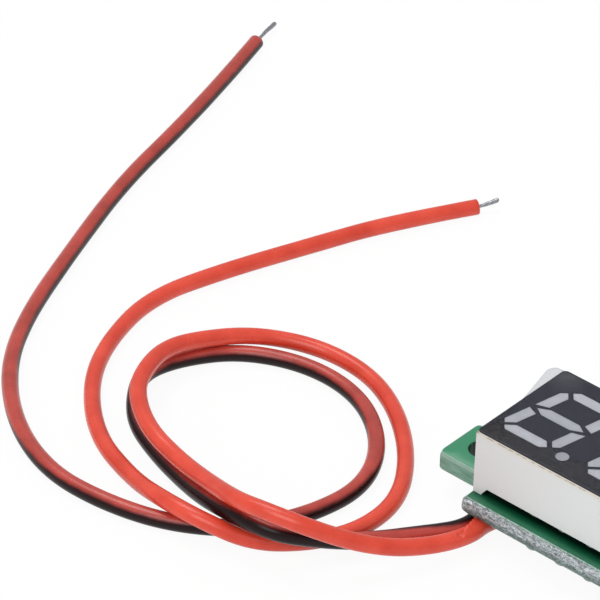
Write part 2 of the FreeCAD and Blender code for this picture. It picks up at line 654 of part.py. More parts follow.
for label, kind in (("ceramic_capacitors", "capacitor"), ("chip_resistors", "resistor"),
                    ("chip_terminals", "terminal")):
    group = doc.addObject("Part::Compound", label)
    group.Label = label
    group.Links = chip_groups[kind]
    pieces.append(group)

# --------------------------------------------------------------------------------------------------------
# Calibration trimmer: a disc with a cross slot turns in the body's recess on a short shaft
# --------------------------------------------------------------------------------------------------------
TRIMMER_FACE = f"({BACK} - trimmer_height)"
TRIMMER_SPOT = {"across": "trimmer_x", "along": "trimmer_y"}

trimmer = new_body("trimmer_body")
trimmer_sketch = new_sketch(trimmer, "trimmer_outline", **TRIMMER_SPOT, up=BACK)
draw_outlines(trimmer_sketch, [[
    (f"{side} * (trimmer_side / 2 - {across})", f"{end} * (trimmer_side / 2 - {along})")
    for side, end, across, along in (
        (-1, -1, "0", "trimmer_corner"), (-1, -1, "trimmer_corner", "0"), (1, -1, "trimmer_corner", "0"),
        (1, -1, "0", "trimmer_corner"), (1, 1, "0", "trimmer_corner"), (1, 1, "trimmer_corner", "0"),
        (-1, 1, "trimmer_corner", "0"), (-1, 1, "0", "trimmer_corner"))]])
pad(trimmer, trimmer_sketch, "trimmer_block", "trimmer_height", down=True)
recess_sketch = new_sketch(trimmer, "recess_plan", **TRIMMER_SPOT, up=TRIMMER_FACE)
draw_circles(recess_sketch, [("0", "0")], "rotor_radius + rotor_gap")
pocket(trimmer, recess_sketch, "recess", "rotor_recess", up=True)
bore_sketch = new_sketch(trimmer, "bore_plan", **TRIMMER_SPOT, up=TRIMMER_FACE)
draw_circles(bore_sketch, [("0", "0")], "rotor_shaft_radius + rotor_gap")
pocket(trimmer, bore_sketch, "shaft_bore", "rotor_recess + rotor_shaft_length", up=True)
pieces.append(trimmer)

rotor = new_body("trimmer_rotor")
rotor_level = f"{TRIMMER_FACE} - rotor_proud"
disc_depth = "(rotor_proud + rotor_recess - rotor_gap)"
disc_sketch = new_sketch(rotor, "disc_plan", **TRIMMER_SPOT, up=rotor_level)
draw_circles(disc_sketch, [("0", "0")], "rotor_radius")
pad(rotor, disc_sketch, "disc", disc_depth)
shaft_sketch = new_sketch(rotor, "shaft_plan", **TRIMMER_SPOT, up=rotor_level)
draw_circles(shaft_sketch, [("0", "0")], "rotor_shaft_radius")
pad(rotor, shaft_sketch, "shaft", f"{disc_depth} + rotor_shaft_length")
cross_sketch = new_sketch(rotor, "slot_plan", **TRIMMER_SPOT, up=rotor_level)
arm = ("slot_length / 2", "slot_width / 2")
notch = ("slot_width / 2", "slot_width / 2")
draw_outlines(cross_sketch, [[
    (f"{side} * {across}", f"{end} * {along}") for side, end, (across, along) in (
        (1, -1, arm), (1, 1, arm), (1, 1, notch), (1, 1, arm[::-1]), (-1, 1, arm[::-1]), (-1, 1, notch),
        (-1, 1, arm), (-1, -1, arm), (-1, -1, notch), (-1, -1, arm[::-1]), (1, -1, arm[::-1]),
        (1, -1, notch))]])
pocket(rotor, cross_sketch, "driver_slot", "slot_depth", up=True)
pieces.append(rotor)

tabs = []
for number, (side, rise) in enumerate(((-1, -0.3), (-1, 0.3), (1, 0))):
    tabs.append(box(
        f"tab_{number}", f"trimmer_x + {side} * (trimmer_side + trimmer_tab_reach) / 2",
        f"trimmer_y + {rise} * trimmer_side", f"{BACK} - trimmer_tab_thickness", "trimmer_tab_reach",
        "trimmer_tab_width", "trimmer_tab_thickness"))
tab_group = doc.addObject("Part::Compound", "trimmer_terminals")
tab_group.Label = "trimmer_terminals"
tab_group.Links = tabs
pieces.append(tab_group)

# --------------------------------------------------------------------------------------------------------
# Leads: each is soldered under the left end, runs out below the board and lies over itself in loops
# --------------------------------------------------------------------------------------------------------
WIRE_LEVEL = f"({BACK} - lead_gap - lead_diameter / 2)"
lead_joints = new_body("lead_solder_joints")
for name in ("red", "dark"):
    revolve(lead_joints, f"{name}_lead_joint", [
        ("0", BACK), ("lead_joint_radius", BACK),
        ("lead_joint_radius * 0.9", f"{BACK} - lead_joint_height * 0.4"),
        ("lead_joint_radius * 0.6", f"{BACK} - lead_joint_height * 0.85"),
        ("0", f"{BACK} - lead_joint_height")],
        f"-{name}_joint_x", "-lead_joint_y")
wire_sketch = new_sketch(lead_joints, "wire_bore_plan", up="lead_joint_y", plane="XZ_Plane")
draw_circles(wire_sketch, [("-red_joint_x", WIRE_LEVEL), ("-dark_joint_x", WIRE_LEVEL)], "wire_radius")
pocket(lead_joints, wire_sketch, "wire_bores", "2 * lead_joint_radius", up=True)
pieces.append(lead_joints)

start_level = (size("standing_height") - size("lead_gap") - size("lead_diameter") / 2)
start_y = -(size("lead_joint_y") + size("strip_length"))
lying = size("lead_diameter") / 2 + 0.01

# Each route lists the lead's points from the board to its bare end, z being the height above the surface.
ROUTES = {
    "red": [
        (-size("red_joint_x"), start_y, start_level), (-9.3, -3.4, start_level), (-9.6, -5.5, 1.2),
        (-9.9, -7.9, 1.35), (-11.0, -10.2, 1.5), (-12.4, -12.7, 2.0), (-14.1, -14.8, 2.8),
        (-16.3, -17.2, 4.3), (-19.1, -18.3, 4.8), (-22.2, -18.2, 4.2), (-26.7, -16.1, 2.3),
        (-30.7, -14.9, 1.6), (-34.7, -14.1, 2.05), (-38.2, -11.8, 2.4), (-39.4, -9.4, 2.75),
        (-40.0, -6.8, 2.6), (-39.6, -4.0, 2.15), (-37.4, 0.2, 1.6), (-33.3, 3.1, 0.95), (-28.4, 3.4, 0.7),
        (-23.9, 1.4, lying), (-19.6, -2.3, lying), (-16.6, -6.8, lying), (-16.3, -11.3, lying),
        (-18.1, -15.0, lying), (-21.1, -17.8, lying), (-24.4, -19.7, 2.05), (-28.0, -19.8, 2.05),
        (-32.3, -18.4, 0.75), (-37.8, -16.5, lying), (-42.8, -12.2, lying), (-45.7, -7.3, lying),
        (-47.4, -0.8, lying), (-45.7, 6.0, lying), (-43.2, 13.1, lying), (-40.7, 20.1, lying),
        (-37.1, 26.8, lying)],
    "dark": [
        (-size("dark_joint_x"), start_y, start_level), (-11.2, -3.3, 1.0), (-11.1, -5.3, 0.72),
        (-12.0, -7.2, lying), (-13.1, -9.0, lying), (-14.4, -11.1, 0.75), (-15.6, -13.2, 1.1),
        (-17.1, -15.3, 1.7), (-18.9, -17.6, 2.55), (-21.9, -18.1, 2.65), (-25.7, -17.6, 1.8),
        (-29.2, -16.5, 1.0), (-33.0, -15.2, lying), (-36.6, -13.7, lying), (-39.0, -11.5, lying),
        (-40.9, -8.6, lying), (-40.1, -4.9, lying), (-37.3, -1.0, lying), (-32.2, 1.2, lying),
        (-26.7, 0.7, lying), (-22.0, -2.6, lying), (-19.5, -7.3, lying), (-20.1, -12.3, lying),
        (-22.4, -17.0, lying), (-26.7, -20.2, lying), (-31.9, -21.7, lying), (-37.5, -21.9, lying),
        (-43.4, -19.5, lying), (-48.8, -15.0, lying), (-52.6, -9.2, lying), (-56.4, -0.4, lying),
        (-60.3, 9.4, lying), (-62.8, 18.9, lying), (-65.7, 28.3, lying), (-67.6, 33.9, lying)],
}


def lead_path(route):
    """Straight runs joined by tangent arcs, each as large as its two runs allow; also the arcs' radii."""
    points = [Vector(*point) for point in route]
    edges = []
    radii = []
    start = points[0]
    for before, corner, after in zip(points, points[1:], points[2:]):
        way_in = (corner - before).normalize()
        way_out = (after - corner).normalize()
        half_turn = way_in.getAngle(way_out) / 2
        reach = 0.45 * min(before.distanceToPoint(corner), corner.distanceToPoint(after))
        radius = reach / math.tan(half_turn)
        inward = (way_out - way_in).normalize()
        arc_start = corner - way_in * reach
        arc_end = corner + way_out * reach
        arc_middle = corner + inward * (radius / math.cos(half_turn) - radius)
        edges.append(Part.LineSegment(start, arc_start).toShape())
        edges.append(Part.Arc(arc_start, arc_middle, arc_end).toShape())
        radii.append(radius)
        start = arc_end
    edges.append(Part.LineSegment(start, points[-1]).toShape())
    return Part.Wire(edges), radii


def lead_tube(label, route):
    """The insulation of a lead, checked against its section times its length."""
    path, radii = lead_path(route)
    radius = size("lead_diameter") / 2
    heading = Vector(*route[1]) - Vector(*route[0])
    section = Part.Wire(Part.makeCircle(radius, Vector(*route[0]), heading))
    tube = path.makePipeShell([section], True, False)
    expected = math.pi * radius ** 2 * path.Length
    print(f"{label}: {path.Length:.1f} mm long, radii {min(radii):.1f} to {max(radii):.1f} mm,",
          f"volume {tube.Volume / expected:.4f} of section times length,",
          f"lowest {tube.optimalBoundingBox().ZMin:.3f}")
    if abs(tube.Volume / expected - 1) > 0.01:
        raise RuntimeError(f"{label}: the tube's volume isn't its section times its length")
    feature = doc.addObject("Part::Feature", label)
    feature.Label = label
    feature.Shape = tube
    feature.Placement = Placement()
    return feature


def bare_wire(label, base, heading, length):
    """The tinned strands beyond the insulation, as one round wire."""
    wire = doc.addObject("Part::Cylinder", label)
    wire.Label = label
    wire.Placement = Placement(base, Rotation(Vector(0, 0, 1), heading))
    bind(wire, Radius="wire_radius", Height=length)
    return wire


for name, route in ROUTES.items():
    pieces.append(lead_tube(f"{name}_lead", route))
    pieces.append(bare_wire(f"{name}_lead_board_end", Vector(*route[0]), Vector(0, 1, 0), "strip_length"))
    end, before = Vector(*route[-1]), Vector(*route[-2])
    pieces.append(bare_wire(f"{name}_lead_tip", end, end - before, f"{name}_tip_length"))

# --------------------------------------------------------------------------------------------------------
# Every object is checked, then each piece is written to its own file
# --------------------------------------------------------------------------------------------------------
doc.recompute()
for item in doc.Objects:
    if "Invalid" in item.State or "Error" in item.State:
        raise RuntimeError(f"{item.Label} failed: {item.State}")
for piece in pieces:
    if piece.Shape.isNull() or not piece.Shape.isValid() or piece.Shape.Volume <= 0:
        raise RuntimeError(f"{piece.Label} has no valid shape")

os.makedirs("parts", exist_ok=True)
for piece in pieces:
    piece.Shape.exportStep(f"parts/{piece.Label}.step")
print(f"{len(pieces)} pieces written")
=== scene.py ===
"""The look of a small two-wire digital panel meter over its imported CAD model.

Lengths are in metres. Routes, profiles and the board's places are in millimetres until MM scales them."""
import json
import math

import bmesh
import bpy
import numpy as np
from mathutils import Matrix, Vector, geometry


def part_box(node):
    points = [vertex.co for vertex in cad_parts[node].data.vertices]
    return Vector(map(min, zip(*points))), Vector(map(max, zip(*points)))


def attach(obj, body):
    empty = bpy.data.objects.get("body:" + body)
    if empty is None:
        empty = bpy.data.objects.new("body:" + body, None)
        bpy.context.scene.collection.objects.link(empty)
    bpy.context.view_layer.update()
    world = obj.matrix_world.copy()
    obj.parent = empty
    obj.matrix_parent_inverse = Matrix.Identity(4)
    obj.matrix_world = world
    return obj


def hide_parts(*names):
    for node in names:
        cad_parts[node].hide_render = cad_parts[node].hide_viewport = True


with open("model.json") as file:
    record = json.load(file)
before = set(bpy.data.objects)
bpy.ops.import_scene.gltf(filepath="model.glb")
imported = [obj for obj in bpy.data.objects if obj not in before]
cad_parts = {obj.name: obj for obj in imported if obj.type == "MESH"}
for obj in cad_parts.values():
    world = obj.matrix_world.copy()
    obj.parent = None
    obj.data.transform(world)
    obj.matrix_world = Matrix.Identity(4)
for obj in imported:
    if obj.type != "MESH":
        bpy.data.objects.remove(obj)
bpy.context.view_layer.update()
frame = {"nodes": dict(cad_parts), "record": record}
scene = bpy.context.scene

# ------------------------------------------------------------------------------------------------------
# Camera, studio light and table. A long lens looks down at the meter's left end. The meter lies on a
# flat white card, with one soft lamp above, another in front and an even glow from all round.
# ------------------------------------------------------------------------------------------------------
MM = 0.001
CAMERA_PLACE = (0.115356, -0.170342, 0.165367)
CAMERA_HEADING = 40.9715  # degrees round the upright axis
CAMERA_DROP = 35.0308  # degrees below the horizon
CAMERA_ROLL = 1.5507  # degrees round the line of sight
LAMP_AIM = Vector((-0.02, 0, 0))
CARD_REACH = 3
CARD_GLOW = 0.93  # how much of the card's seen white is its own


def linear(code):
    """The linear colour of an sRGB hex value, fully opaque."""
    parts = [int(code[start:start + 2], 16) / 255 for start in (1, 3, 5)]
    return [part / 12.92 if part <= 0.04045 else ((part + 0.055) / 1.055) ** 2.4 for part in parts] + [1]


def add_node(material, kind, inputs=None, stops=(), **settings):
    """Adds a shader node. An input, by number or name, is a value or what feeds it; stops fill a ramp."""
    node = material.node_tree.nodes.new("ShaderNode" + kind)
    for name, value in settings.items():
        setattr(node, name, value)
    for number, (place, code) in enumerate(stops):
        ramp = node.color_ramp.elements
        stop = ramp[0] if number == 0 else ramp[-1] if number == len(stops) - 1 else ramp.new(place)
        stop.position = place
        stop.color = linear(code)
    for name, value in (inputs or {}).items():
        socket = node.inputs[name] if isinstance(name, int) else next(
            entry for entry in node.inputs if entry.enabled and entry.name == name)
        if isinstance(value, bpy.types.Node):
            value = next(entry for entry in value.outputs if entry.enabled)
        if isinstance(value, bpy.types.NodeSocket):
            material.node_tree.links.new(value, socket)
        else:
            socket.default_value = value
    return node


def new_material(name):
    """An empty material and its output node."""
    material = bpy.data.materials.new(name)
    material.use_nodes = True
    material.node_tree.nodes.clear()
    return material, add_node(material, "OutputMaterial")


camera = bpy.data.objects.new("camera", bpy.data.cameras.new("camera"))
scene.collection.objects.link(camera)
scene.camera = camera
camera.matrix_world = (
    Matrix.Translation(CAMERA_PLACE)
    @ Matrix.Rotation(math.radians(CAMERA_HEADING), 4, "Z")
    @ Matrix.Rotation(math.radians(90 - CAMERA_DROP), 4, "X")
    @ Matrix.Rotation(math.radians(CAMERA_ROLL), 4, "Z"))
camera.data.lens = 220.2
camera.data.sensor_width = 36
camera.data.clip_start = 0.01

scene.view_settings.view_transform = "Standard"
world = bpy.data.worlds.new("studio")
scene.world = world
world.use_nodes = True
world.node_tree.nodes["Background"].inputs["Color"].default_value = linear("#FFFFFF")
world.node_tree.nodes["Background"].inputs["Strength"].default_value = 0.62

for name, place, size, power in (("overhead lamp", (-0.22, 0.06, 0.5), 0.26, 0.85),
                                 ("front lamp", (0.06, -0.34, 0.38), 0.3, 0.9)):
    lamp = bpy.data.objects.new(name, bpy.data.lights.new(name, "AREA"))
    lamp.data.size = size
    lamp.data.energy = power
    lamp.location = place
    lamp.rotation_euler = (Vector(place) - LAMP_AIM).to_track_quat("Z", "Y").to_euler()
    scene.collection.objects.link(lamp)

# Matt white card: seen directly, in a gloss or through film it is paper white with a trace of shadow
card, card_out = new_material("matt white card")
card_lit = add_node(card, "BsdfDiffuse", {"Color": linear("#F4F4F4")})
card_own = add_node(card, "Emission", {"Color": linear("#FFFFFF"), "Strength": 1.0})
ray = add_node(card, "LightPath")
ray_straight = add_node(card, "Math", {0: ray.outputs["Is Camera Ray"], 1: ray.outputs["Is Glossy Ray"]},
                        operation="ADD")
ray_seen = add_node(card, "Math", {0: ray_straight, 1: ray.outputs["Is Transmission Ray"]},
                    operation="ADD", use_clamp=True)
card_share = add_node(card, "Math", {0: ray_seen, 1: CARD_GLOW}, operation="MULTIPLY")
card_look = add_node(card, "MixShader", {0: card_share, 1: card_lit, 2: card_own})
card.node_tree.links.new(card_look.outputs[0], card_out.inputs["Surface"])

table_mesh = bpy.data.meshes.new("table")
table_corners = [(x * CARD_REACH, y * CARD_REACH, 0) for x, y in ((-1, -1), (1, -1), (1, 1), (-1, 1))]
table_mesh.from_pydata(table_corners, [], [(0, 1, 2, 3)])
table_mesh.materials.append(card)
table = bpy.data.objects.new("table", table_mesh)
scene.collection.objects.link(table)

# ------------------------------------------------------------------------------------------------------
# Leads: limp hook-up wire, soft PVC extruded over tinned strands. The supply lead is red. The return
# lead is co-extruded, brick red along one side and black along the other. Both lie loosely over each
# other on the table, from under the board's near edge to their bare tips.
# ------------------------------------------------------------------------------------------------------
LEAD_RADIUS = 0.65 * MM
LEAD_SIDES = 36
LEAD_WAVES = 60  # knots of the radius' slight waver
STRAND_SIDES = 48
STRAND_ROUNDED = 0.93  # share of a bare end's length past which its tip closes
# Route points in mm, from the board to the bare tip
RED_ROUTE = [
    (-9.3, -1.4, 1.13), (-9.4, -3.3, 1.13), (-9.98, -5.1, 1.14), (-9.72, -6.9, 1.36),
    (-10.25, -8.7, 1.4), (-11.2, -10.6, 1.55), (-12.4, -12.7, 2), (-14.1, -14.8, 2.8),
    (-16.3, -17.2, 4.3), (-19.1, -18.3, 4.8), (-21.93, -18.51, 4.49), (-26.07, -16.92, 2.92),
    (-29.94, -15.92, 2.32), (-34.08, -14.97, 2.62), (-37.9, -12.29, 2.63), (-39.3, -9.6, 2.8),
    (-40, -6.8, 2.6), (-39.6, -4, 2.15), (-37.4, 0.2, 1.6), (-33.3, 3.1, 0.95), (-28.4, 3.4, 0.7),
    (-23.9, 1.4, 0.66), (-19.6, -2.3, 0.66), (-16.6, -6.8, 0.66), (-16.3, -11.3, 0.66),
    (-18.1, -15, 0.66), (-21.1, -17.8, 0.66), (-24.4, -19.7, 2.05), (-28, -19.8, 2.05),
    (-32.3, -18.4, 0.75), (-37.8, -16.5, 0.66), (-42.8, -12.2, 0.66), (-45.7, -7.3, 0.66),
    (-47.4, -0.8, 0.66), (-45.7, 6, 0.66), (-43.2, 13.1, 0.66), (-40.7, 20.1, 0.66), (-37.1, 26.8, 0.66)]
DARK_ROUTE = [
    (-11.1, -1.4, 1.13), (-11.2, -3.2, 0.93), (-11.03, -4.9, 0.67), (-11.3, -6.4, 0.66),
    (-12.2, -7.8, 0.66), (-13.1, -9, 0.66), (-14.4, -11.1, 0.75), (-15.6, -13.2, 1.1),
    (-17.1, -15.3, 1.7), (-18.9, -17.6, 2.55), (-21.9, -18.1, 2.65), (-25.75, -17.47, 1.8),
    (-29.3, -16.24, 1), (-33.1, -14.94, 0.66), (-36.7, -13.44, 0.66), (-39.1, -11.24, 0.66),
    (-40.95, -8.47, 0.66), (-40.1, -4.9, 0.66), (-37.3, -1, 0.66), (-32.2, 1.2, 0.66),
    (-26.7, 0.7, 0.66), (-22, -2.6, 0.66), (-19.5, -7.3, 0.66), (-20.1, -12.3, 0.66),
    (-22.4, -17, 0.66), (-26.7, -20.2, 0.66), (-31.9, -21.7, 0.66), (-37.5, -21.9, 0.66),
    (-43.4, -19.5, 0.66), (-48.8, -15, 0.66), (-52.6, -9.2, 0.66), (-56.4, -0.4, 0.66),
    (-60.3, 9.4, 0.66), (-62.8, 18.9, 0.66), (-65.7, 28.3, 0.66), (-67.5, 33.5, 0.66)]
# The middle of the return lead's black side: mm along it, and degrees round it from right side to top
BLACK_SIDE = [
    (0, 44), (3, 36), (9.5, -10), (11.6, -26), (14.5, -152), (33, -150), (39, -154), (46, -62),
    (60, -54), (66, -62), (69, -92), (73, -136), (90, -126), (97, -130), (102, -122), (107, -96),
    (113, -62), (121, -62), (170, -66)]


def surface(name, points, **values):
    """A mesh over a grid of points, rows by columns. Each row closes round, and a fan closes each end.

    Each further argument is an attribute with one number for each grid point."""
    rows, columns = points.shape[:2]
    grid = np.arange(rows * columns).reshape(rows, columns)
    right = np.roll(grid, -1, axis=1)
    faces = np.stack([grid[:-1], right[:-1], right[1:], grid[1:]], axis=-1).reshape(-1, 4).tolist()
    for row, middle in ((0, grid.size), (rows - 1, grid.size + 1)):
        faces += np.stack([grid[row], right[row], np.full(columns, middle)], axis=-1).tolist()
    places = np.vstack([points.reshape(-1, 3), points[0].mean(axis=0), points[-1].mean(axis=0)])
    mesh = bpy.data.meshes.new(name)
    mesh.from_pydata(places.tolist(), [], faces)
    for label, numbers in values.items():
        flat = np.asarray(numbers, np.float32).ravel()
        layer = mesh.attributes.new(label, "FLOAT", "POINT")
        layer.data.foreach_set("value", np.append(flat, flat[[0, -1]]))
    work = bmesh.new()
    work.from_mesh(mesh)
    bmesh.ops.recalc_face_normals(work, faces=work.faces)
    work.to_mesh(mesh)
    work.free()
    mesh.shade_smooth()
    return mesh


def add_piece(name, mesh, material, body, slot, *nodes):
    """Shows a mesh as a piece of the meter, riding on a body, in place of the named CAD nodes."""
    piece = bpy.data.objects.new(name, mesh)
    scene.collection.objects.link(piece)
    if not mesh.materials:
        mesh.materials.append(material)
    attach(piece, body)
    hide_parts(*nodes)
    return piece


def smooth_line(route):
    """The points of the smooth line that the route's points draw towards them, from end to end."""
    curve = bpy.data.curves.new("route", "CURVE")
    curve.dimensions = "3D"
    curve.resolution_u = 40
    spline = curve.splines.new("NURBS")
    spline.points.add(len(route) - 1)
    for point, place in zip(spline.points, route):
        point.co = (*(MM * part for part in place), 1)
    spline.order_u = 3
    spline.use_endpoint_u = True
    holder = bpy.data.objects.new("route", curve)
    mesh = bpy.data.meshes.new_from_object(holder)
    line = np.empty(len(mesh.vertices) * 3)
    mesh.vertices.foreach_get("co", line)
    bpy.data.objects.remove(holder)
    bpy.data.curves.remove(curve)
    bpy.data.meshes.remove(mesh)
    return line.reshape(-1, 3)


def along(line):
    """Point by point: the way ahead, the level way to its right, the way up from both, the distance."""
    ahead = np.gradient(line, axis=0)
    ahead /= np.linalg.norm(ahead, axis=1, keepdims=True)
    side = np.cross(ahead, (0, 0, 1))
    side /= np.linalg.norm(side, axis=1, keepdims=True)
    steps = np.linalg.norm(np.diff(line, axis=0), axis=1)
    return ahead, side, np.cross(side, ahead), np.concatenate([[0], np.cumsum(steps)])


def bell(value, middle, width):
    """1 at the middle, less on both sides: e to the minus square of the distance over the width."""
    return np.exp(-((value - middle) / width) ** 2)


def kink(run, turn):
    """How far the kinked supply lead stands out of round near the board, and how much painted shade
    darkens its fold.

    run is the way along it in mm, and turn the angle round it in degrees from right side to top. A
    ridge slants over the lead. Before it the wall swells by 0.24 mm times a bell, and past it sinks by
    0.2 mm times a bell, joined by a steep tanh and faded round the lead. A short sine wave wrinkles the
    foot, and two bells give the painted shade along the fold."""
    ridge = np.interp(turn, [40, 45, 60, 80, 100, 120, 140, 175],
                      [4.2, 4.4, 5.1, 6.05, 6.42, 6.56, 6.65, 6.7])
    past = run - ridge
    over = 0.5 + 0.5 * np.tanh(past / 0.06)
    fold = (1 - over) * 0.24 * bell(past, 0, 0.95) - over * 0.2 * bell(past, 0, 0.8)
    wrinkle = 0.03 * np.sin(past * 12 + turn / 14) * bell(past, 0.42, 0.34) * bell(turn, 104, 28)
    crease = bell(past, 0.14, 0.12) * bell(turn, 84, 44)
    crease += 0.6 * bell(past, 0.5, 0.09) * bell(turn, 106, 18)
    return bell(turn, 74, 48) * fold + wrinkle, crease


def lead_mesh(name, line, seed, kinked):
    """Insulation: a circle whose radius wavers by a hundredth, carried along the line to a cut end face.

    The circle's point at an angle is the line's point plus the radius times (cosine times side + sine
    times up). The attribute black_side is the angle from the middle of the black side, and the second
    attribute is how much painted shade darkens the kink's fold."""
    ahead, side, up, distance = along(line)
    angle = np.linspace(0, 2 * np.pi, LEAD_SIDES, endpoint=False)
    turn = np.degrees(angle)
    chance = np.random.default_rng(seed)
    knots = chance.normal(0, 1, LEAD_WAVES)
    waver = 1 + 0.008 * np.interp(distance, np.linspace(0, distance[-1], LEAD_WAVES), knots)
    ring = np.cos(angle)[:, None] * side[:, None] + np.sin(angle)[:, None] * up[:, None]
    bulge, crease = (kinked * part for part in kink(distance[:, None] / MM, turn))
    tube = line[:, None] + (LEAD_RADIUS * waver[:, None] + bulge * MM)[:, :, None] * ring
    # Rings of an end face: share of the radius, mm out of the face, share of the cut's raggedness
    narrow, out, rough = np.array([(0.96, 0.03, 1), (0.8, 0.04, 1), (0.5, 0, 0.3)]).T[:, :, None, None]
    ragged = 0.03 * rough * chance.normal(size=(3, LEAD_SIDES, 1))
    tip = line[-1] + LEAD_RADIUS * narrow * ring[-1] + ahead[-1] * MM * (out + ragged)
    root = line[0] + LEAD_RADIUS * narrow[::-1] * ring[0]
    run = np.pad(distance, len(narrow), mode="edge")
    middle = np.interp(run / MM, *np.array(BLACK_SIDE, float).T)[:, None]
    black_side = np.abs((turn - middle + 180) % 360 - 180)
    crease = np.pad(crease, ((len(narrow), len(narrow)), (0, 0)))
    return surface(name, np.concatenate([root, tube, tip]), black_side=black_side, crease=crease)


def strand_mesh(start, heading, lift, length, root, tip, seed):
    """Bare end of a lead: strands twisted together and dipped in solder, which fills their grooves.

    The axis is start + heading times distance + lift times the square of the share of the length,
    drifting a little to the side. The radius eases from root to tip by the smooth step of the share and
    closes as a quarter ellipse. It swells by the size of the cosine of three times the turned angle,
    which gives six strands, and less towards the tip."""
    heading = np.asarray(heading) / np.linalg.norm(heading)
    side = np.cross(heading, (0, 0, 1))
    side /= np.linalg.norm(side)
    up = np.cross(side, heading)
    chance = np.random.default_rng(seed)
    closing = 1 - (1 - STRAND_ROUNDED) * np.cos(np.linspace(0.2, 1.5, 8))  # closer together at the end
    share = np.concatenate([np.linspace(0, STRAND_ROUNDED, 60), closing])
    angle = np.linspace(0, 2 * np.pi, STRAND_SIDES, endpoint=False)
    drift = np.interp(share, np.linspace(0, 1, 6), chance.normal(0, 0.012 * MM, 6))
    axis = start + np.outer(length * share, heading) + np.outer(share ** 2, lift) + np.outer(drift, side)
    ease = share ** 2 * (3 - 2 * share)
    past = ((share - STRAND_ROUNDED) / (1.001 - STRAND_ROUNDED)).clip(0)
    radius = (root + (tip - root) * ease) * np.sqrt(np.clip(1 - past ** 2, 0.02, 1))
    lay = angle - 1.9 * length / MM * share[:, None]
    radius = radius[:, None] * (1 + (0.15 - 0.11 * ease[:, None]) * (np.abs(np.cos(3 * lay)) - 0.6))
    ring = np.cos(angle)[:, None] * side + np.sin(angle)[:, None] * up
    return surface("strands", axis[:, None] + radius[:, :, None] * ring)


# Soft PVC, extruded: satin, cloudy in patches 2.38 mm long where it was handled, painted darker along the
# kink's fold as shade. The die leaves a ripple of a few hundredths of a millimetre, too fine to show, so
# it is drawn 0.385 mm long.
def lead_material(name, body_colour, worn_colour, black_colour=None):
    """PVC in one colour, or with a black side whose edges waver a little every 1.11 mm or so."""
    material, out = new_material(name)
    where = add_node(material, "TexCoord").outputs["Object"]
    mottle = add_node(material, "TexNoise", {"Vector": where, "Scale": 1 / (2.38 * MM), "Detail": 3.0})
    worn = add_node(material, "MapRange", {"Value": mottle, "From Min": 0.35, "From Max": 0.7})
    colour = add_node(material, "Mix", {"Factor": worn, "A": linear(body_colour),
                                        "B": linear(worn_colour)}, data_type="RGBA")
    # Painted shade: the kink's fold is darkened towards a deep red
    crease = add_node(material, "Attribute", attribute_name="crease")
    fold_shade_share = add_node(material, "Math", {0: crease.outputs["Fac"], 1: 0.6}, operation="MULTIPLY")
    colour = add_node(material, "Mix", {"Factor": fold_shade_share, "A": colour,
                                        "B": linear("#8A2818")}, data_type="RGBA")
    level = 0.5
    if black_colour:
        turn = add_node(material, "Attribute", attribute_name="black_side")
        edge = add_node(material, "TexNoise", {"Vector": where, "Scale": 1 / (1.11 * MM), "Detail": 2.0})
        lean = add_node(material, "Math", {0: edge, 1: 12.0, 2: turn.outputs["Fac"]},
                        operation="MULTIPLY_ADD")
        black = add_node(material, "MapRange", {"Value": lean, "From Min": 82.0, "From Max": 122.0,
                                                "To Min": 1.0, "To Max": 0.0},
                         interpolation_type="SMOOTHSTEP")
        colour = add_node(material, "Mix", {"Factor": black, "A": colour, "B": linear(black_colour)},
                          data_type="RGBA")
        level = add_node(material, "MapRange", {"Value": black, "To Min": level, "To Max": 0.22})
    ripple = add_node(material, "TexNoise", {"Vector": where, "Scale": 1 / (0.385 * MM), "Detail": 2.0})
    bump = add_node(material, "Bump", {"Height": ripple, "Strength": 0.18, "Distance": 0.03 * MM})
    gloss = add_node(material, "MapRange", {"Value": mottle, "To Min": 0.22, "To Max": 0.34})
    look = add_node(material, "BsdfPrincipled", {
        "Base Color": colour, "Roughness": gloss, "Normal": bump, "IOR": 1.48,
        "Specular IOR Level": level, "Subsurface Weight": 0.12, "Subsurface Radius": (0.6, 0.2, 0.15),
        "Subsurface Scale": 0.4 * MM})
    material.node_tree.links.new(look.outputs[0], out.inputs["Surface"])
    return material


red_pvc = lead_material("red PVC, extruded", "#E34D38", "#D33E28")
two_tone_pvc = lead_material("brick red and black PVC, extruded", "#BC463C", "#A4382F", "#1E0A0E")

# Tinned copper, dipped: dull silver with a cloudy skin. Its crystals are too fine to show, so they are
# drawn 0.2 mm wide.
tinned, tinned_out = new_material("tinned copper strand")
tinned_where = add_node(tinned, "TexCoord").outputs["Object"]
tinned_grain = add_node(tinned, "TexNoise", {"Vector": tinned_where, "Scale": 1 / (0.2 * MM),
                                             "Detail": 4.0})
tinned_colour = add_node(tinned, "Mix", {"Factor": tinned_grain, "A": linear("#77787F"),
                                         "B": linear("#B9BAC0")}, data_type="RGBA")
tinned_bump = add_node(tinned, "Bump", {"Height": tinned_grain, "Strength": 0.2, "Distance": 0.01 * MM})
tinned_look = add_node(tinned, "BsdfPrincipled", {"Base Color": tinned_colour, "Metallic": 1.0,
                                                  "Roughness": 0.36, "Normal": tinned_bump})
tinned.node_tree.links.new(tinned_look.outputs[0], tinned_out.inputs["Surface"])

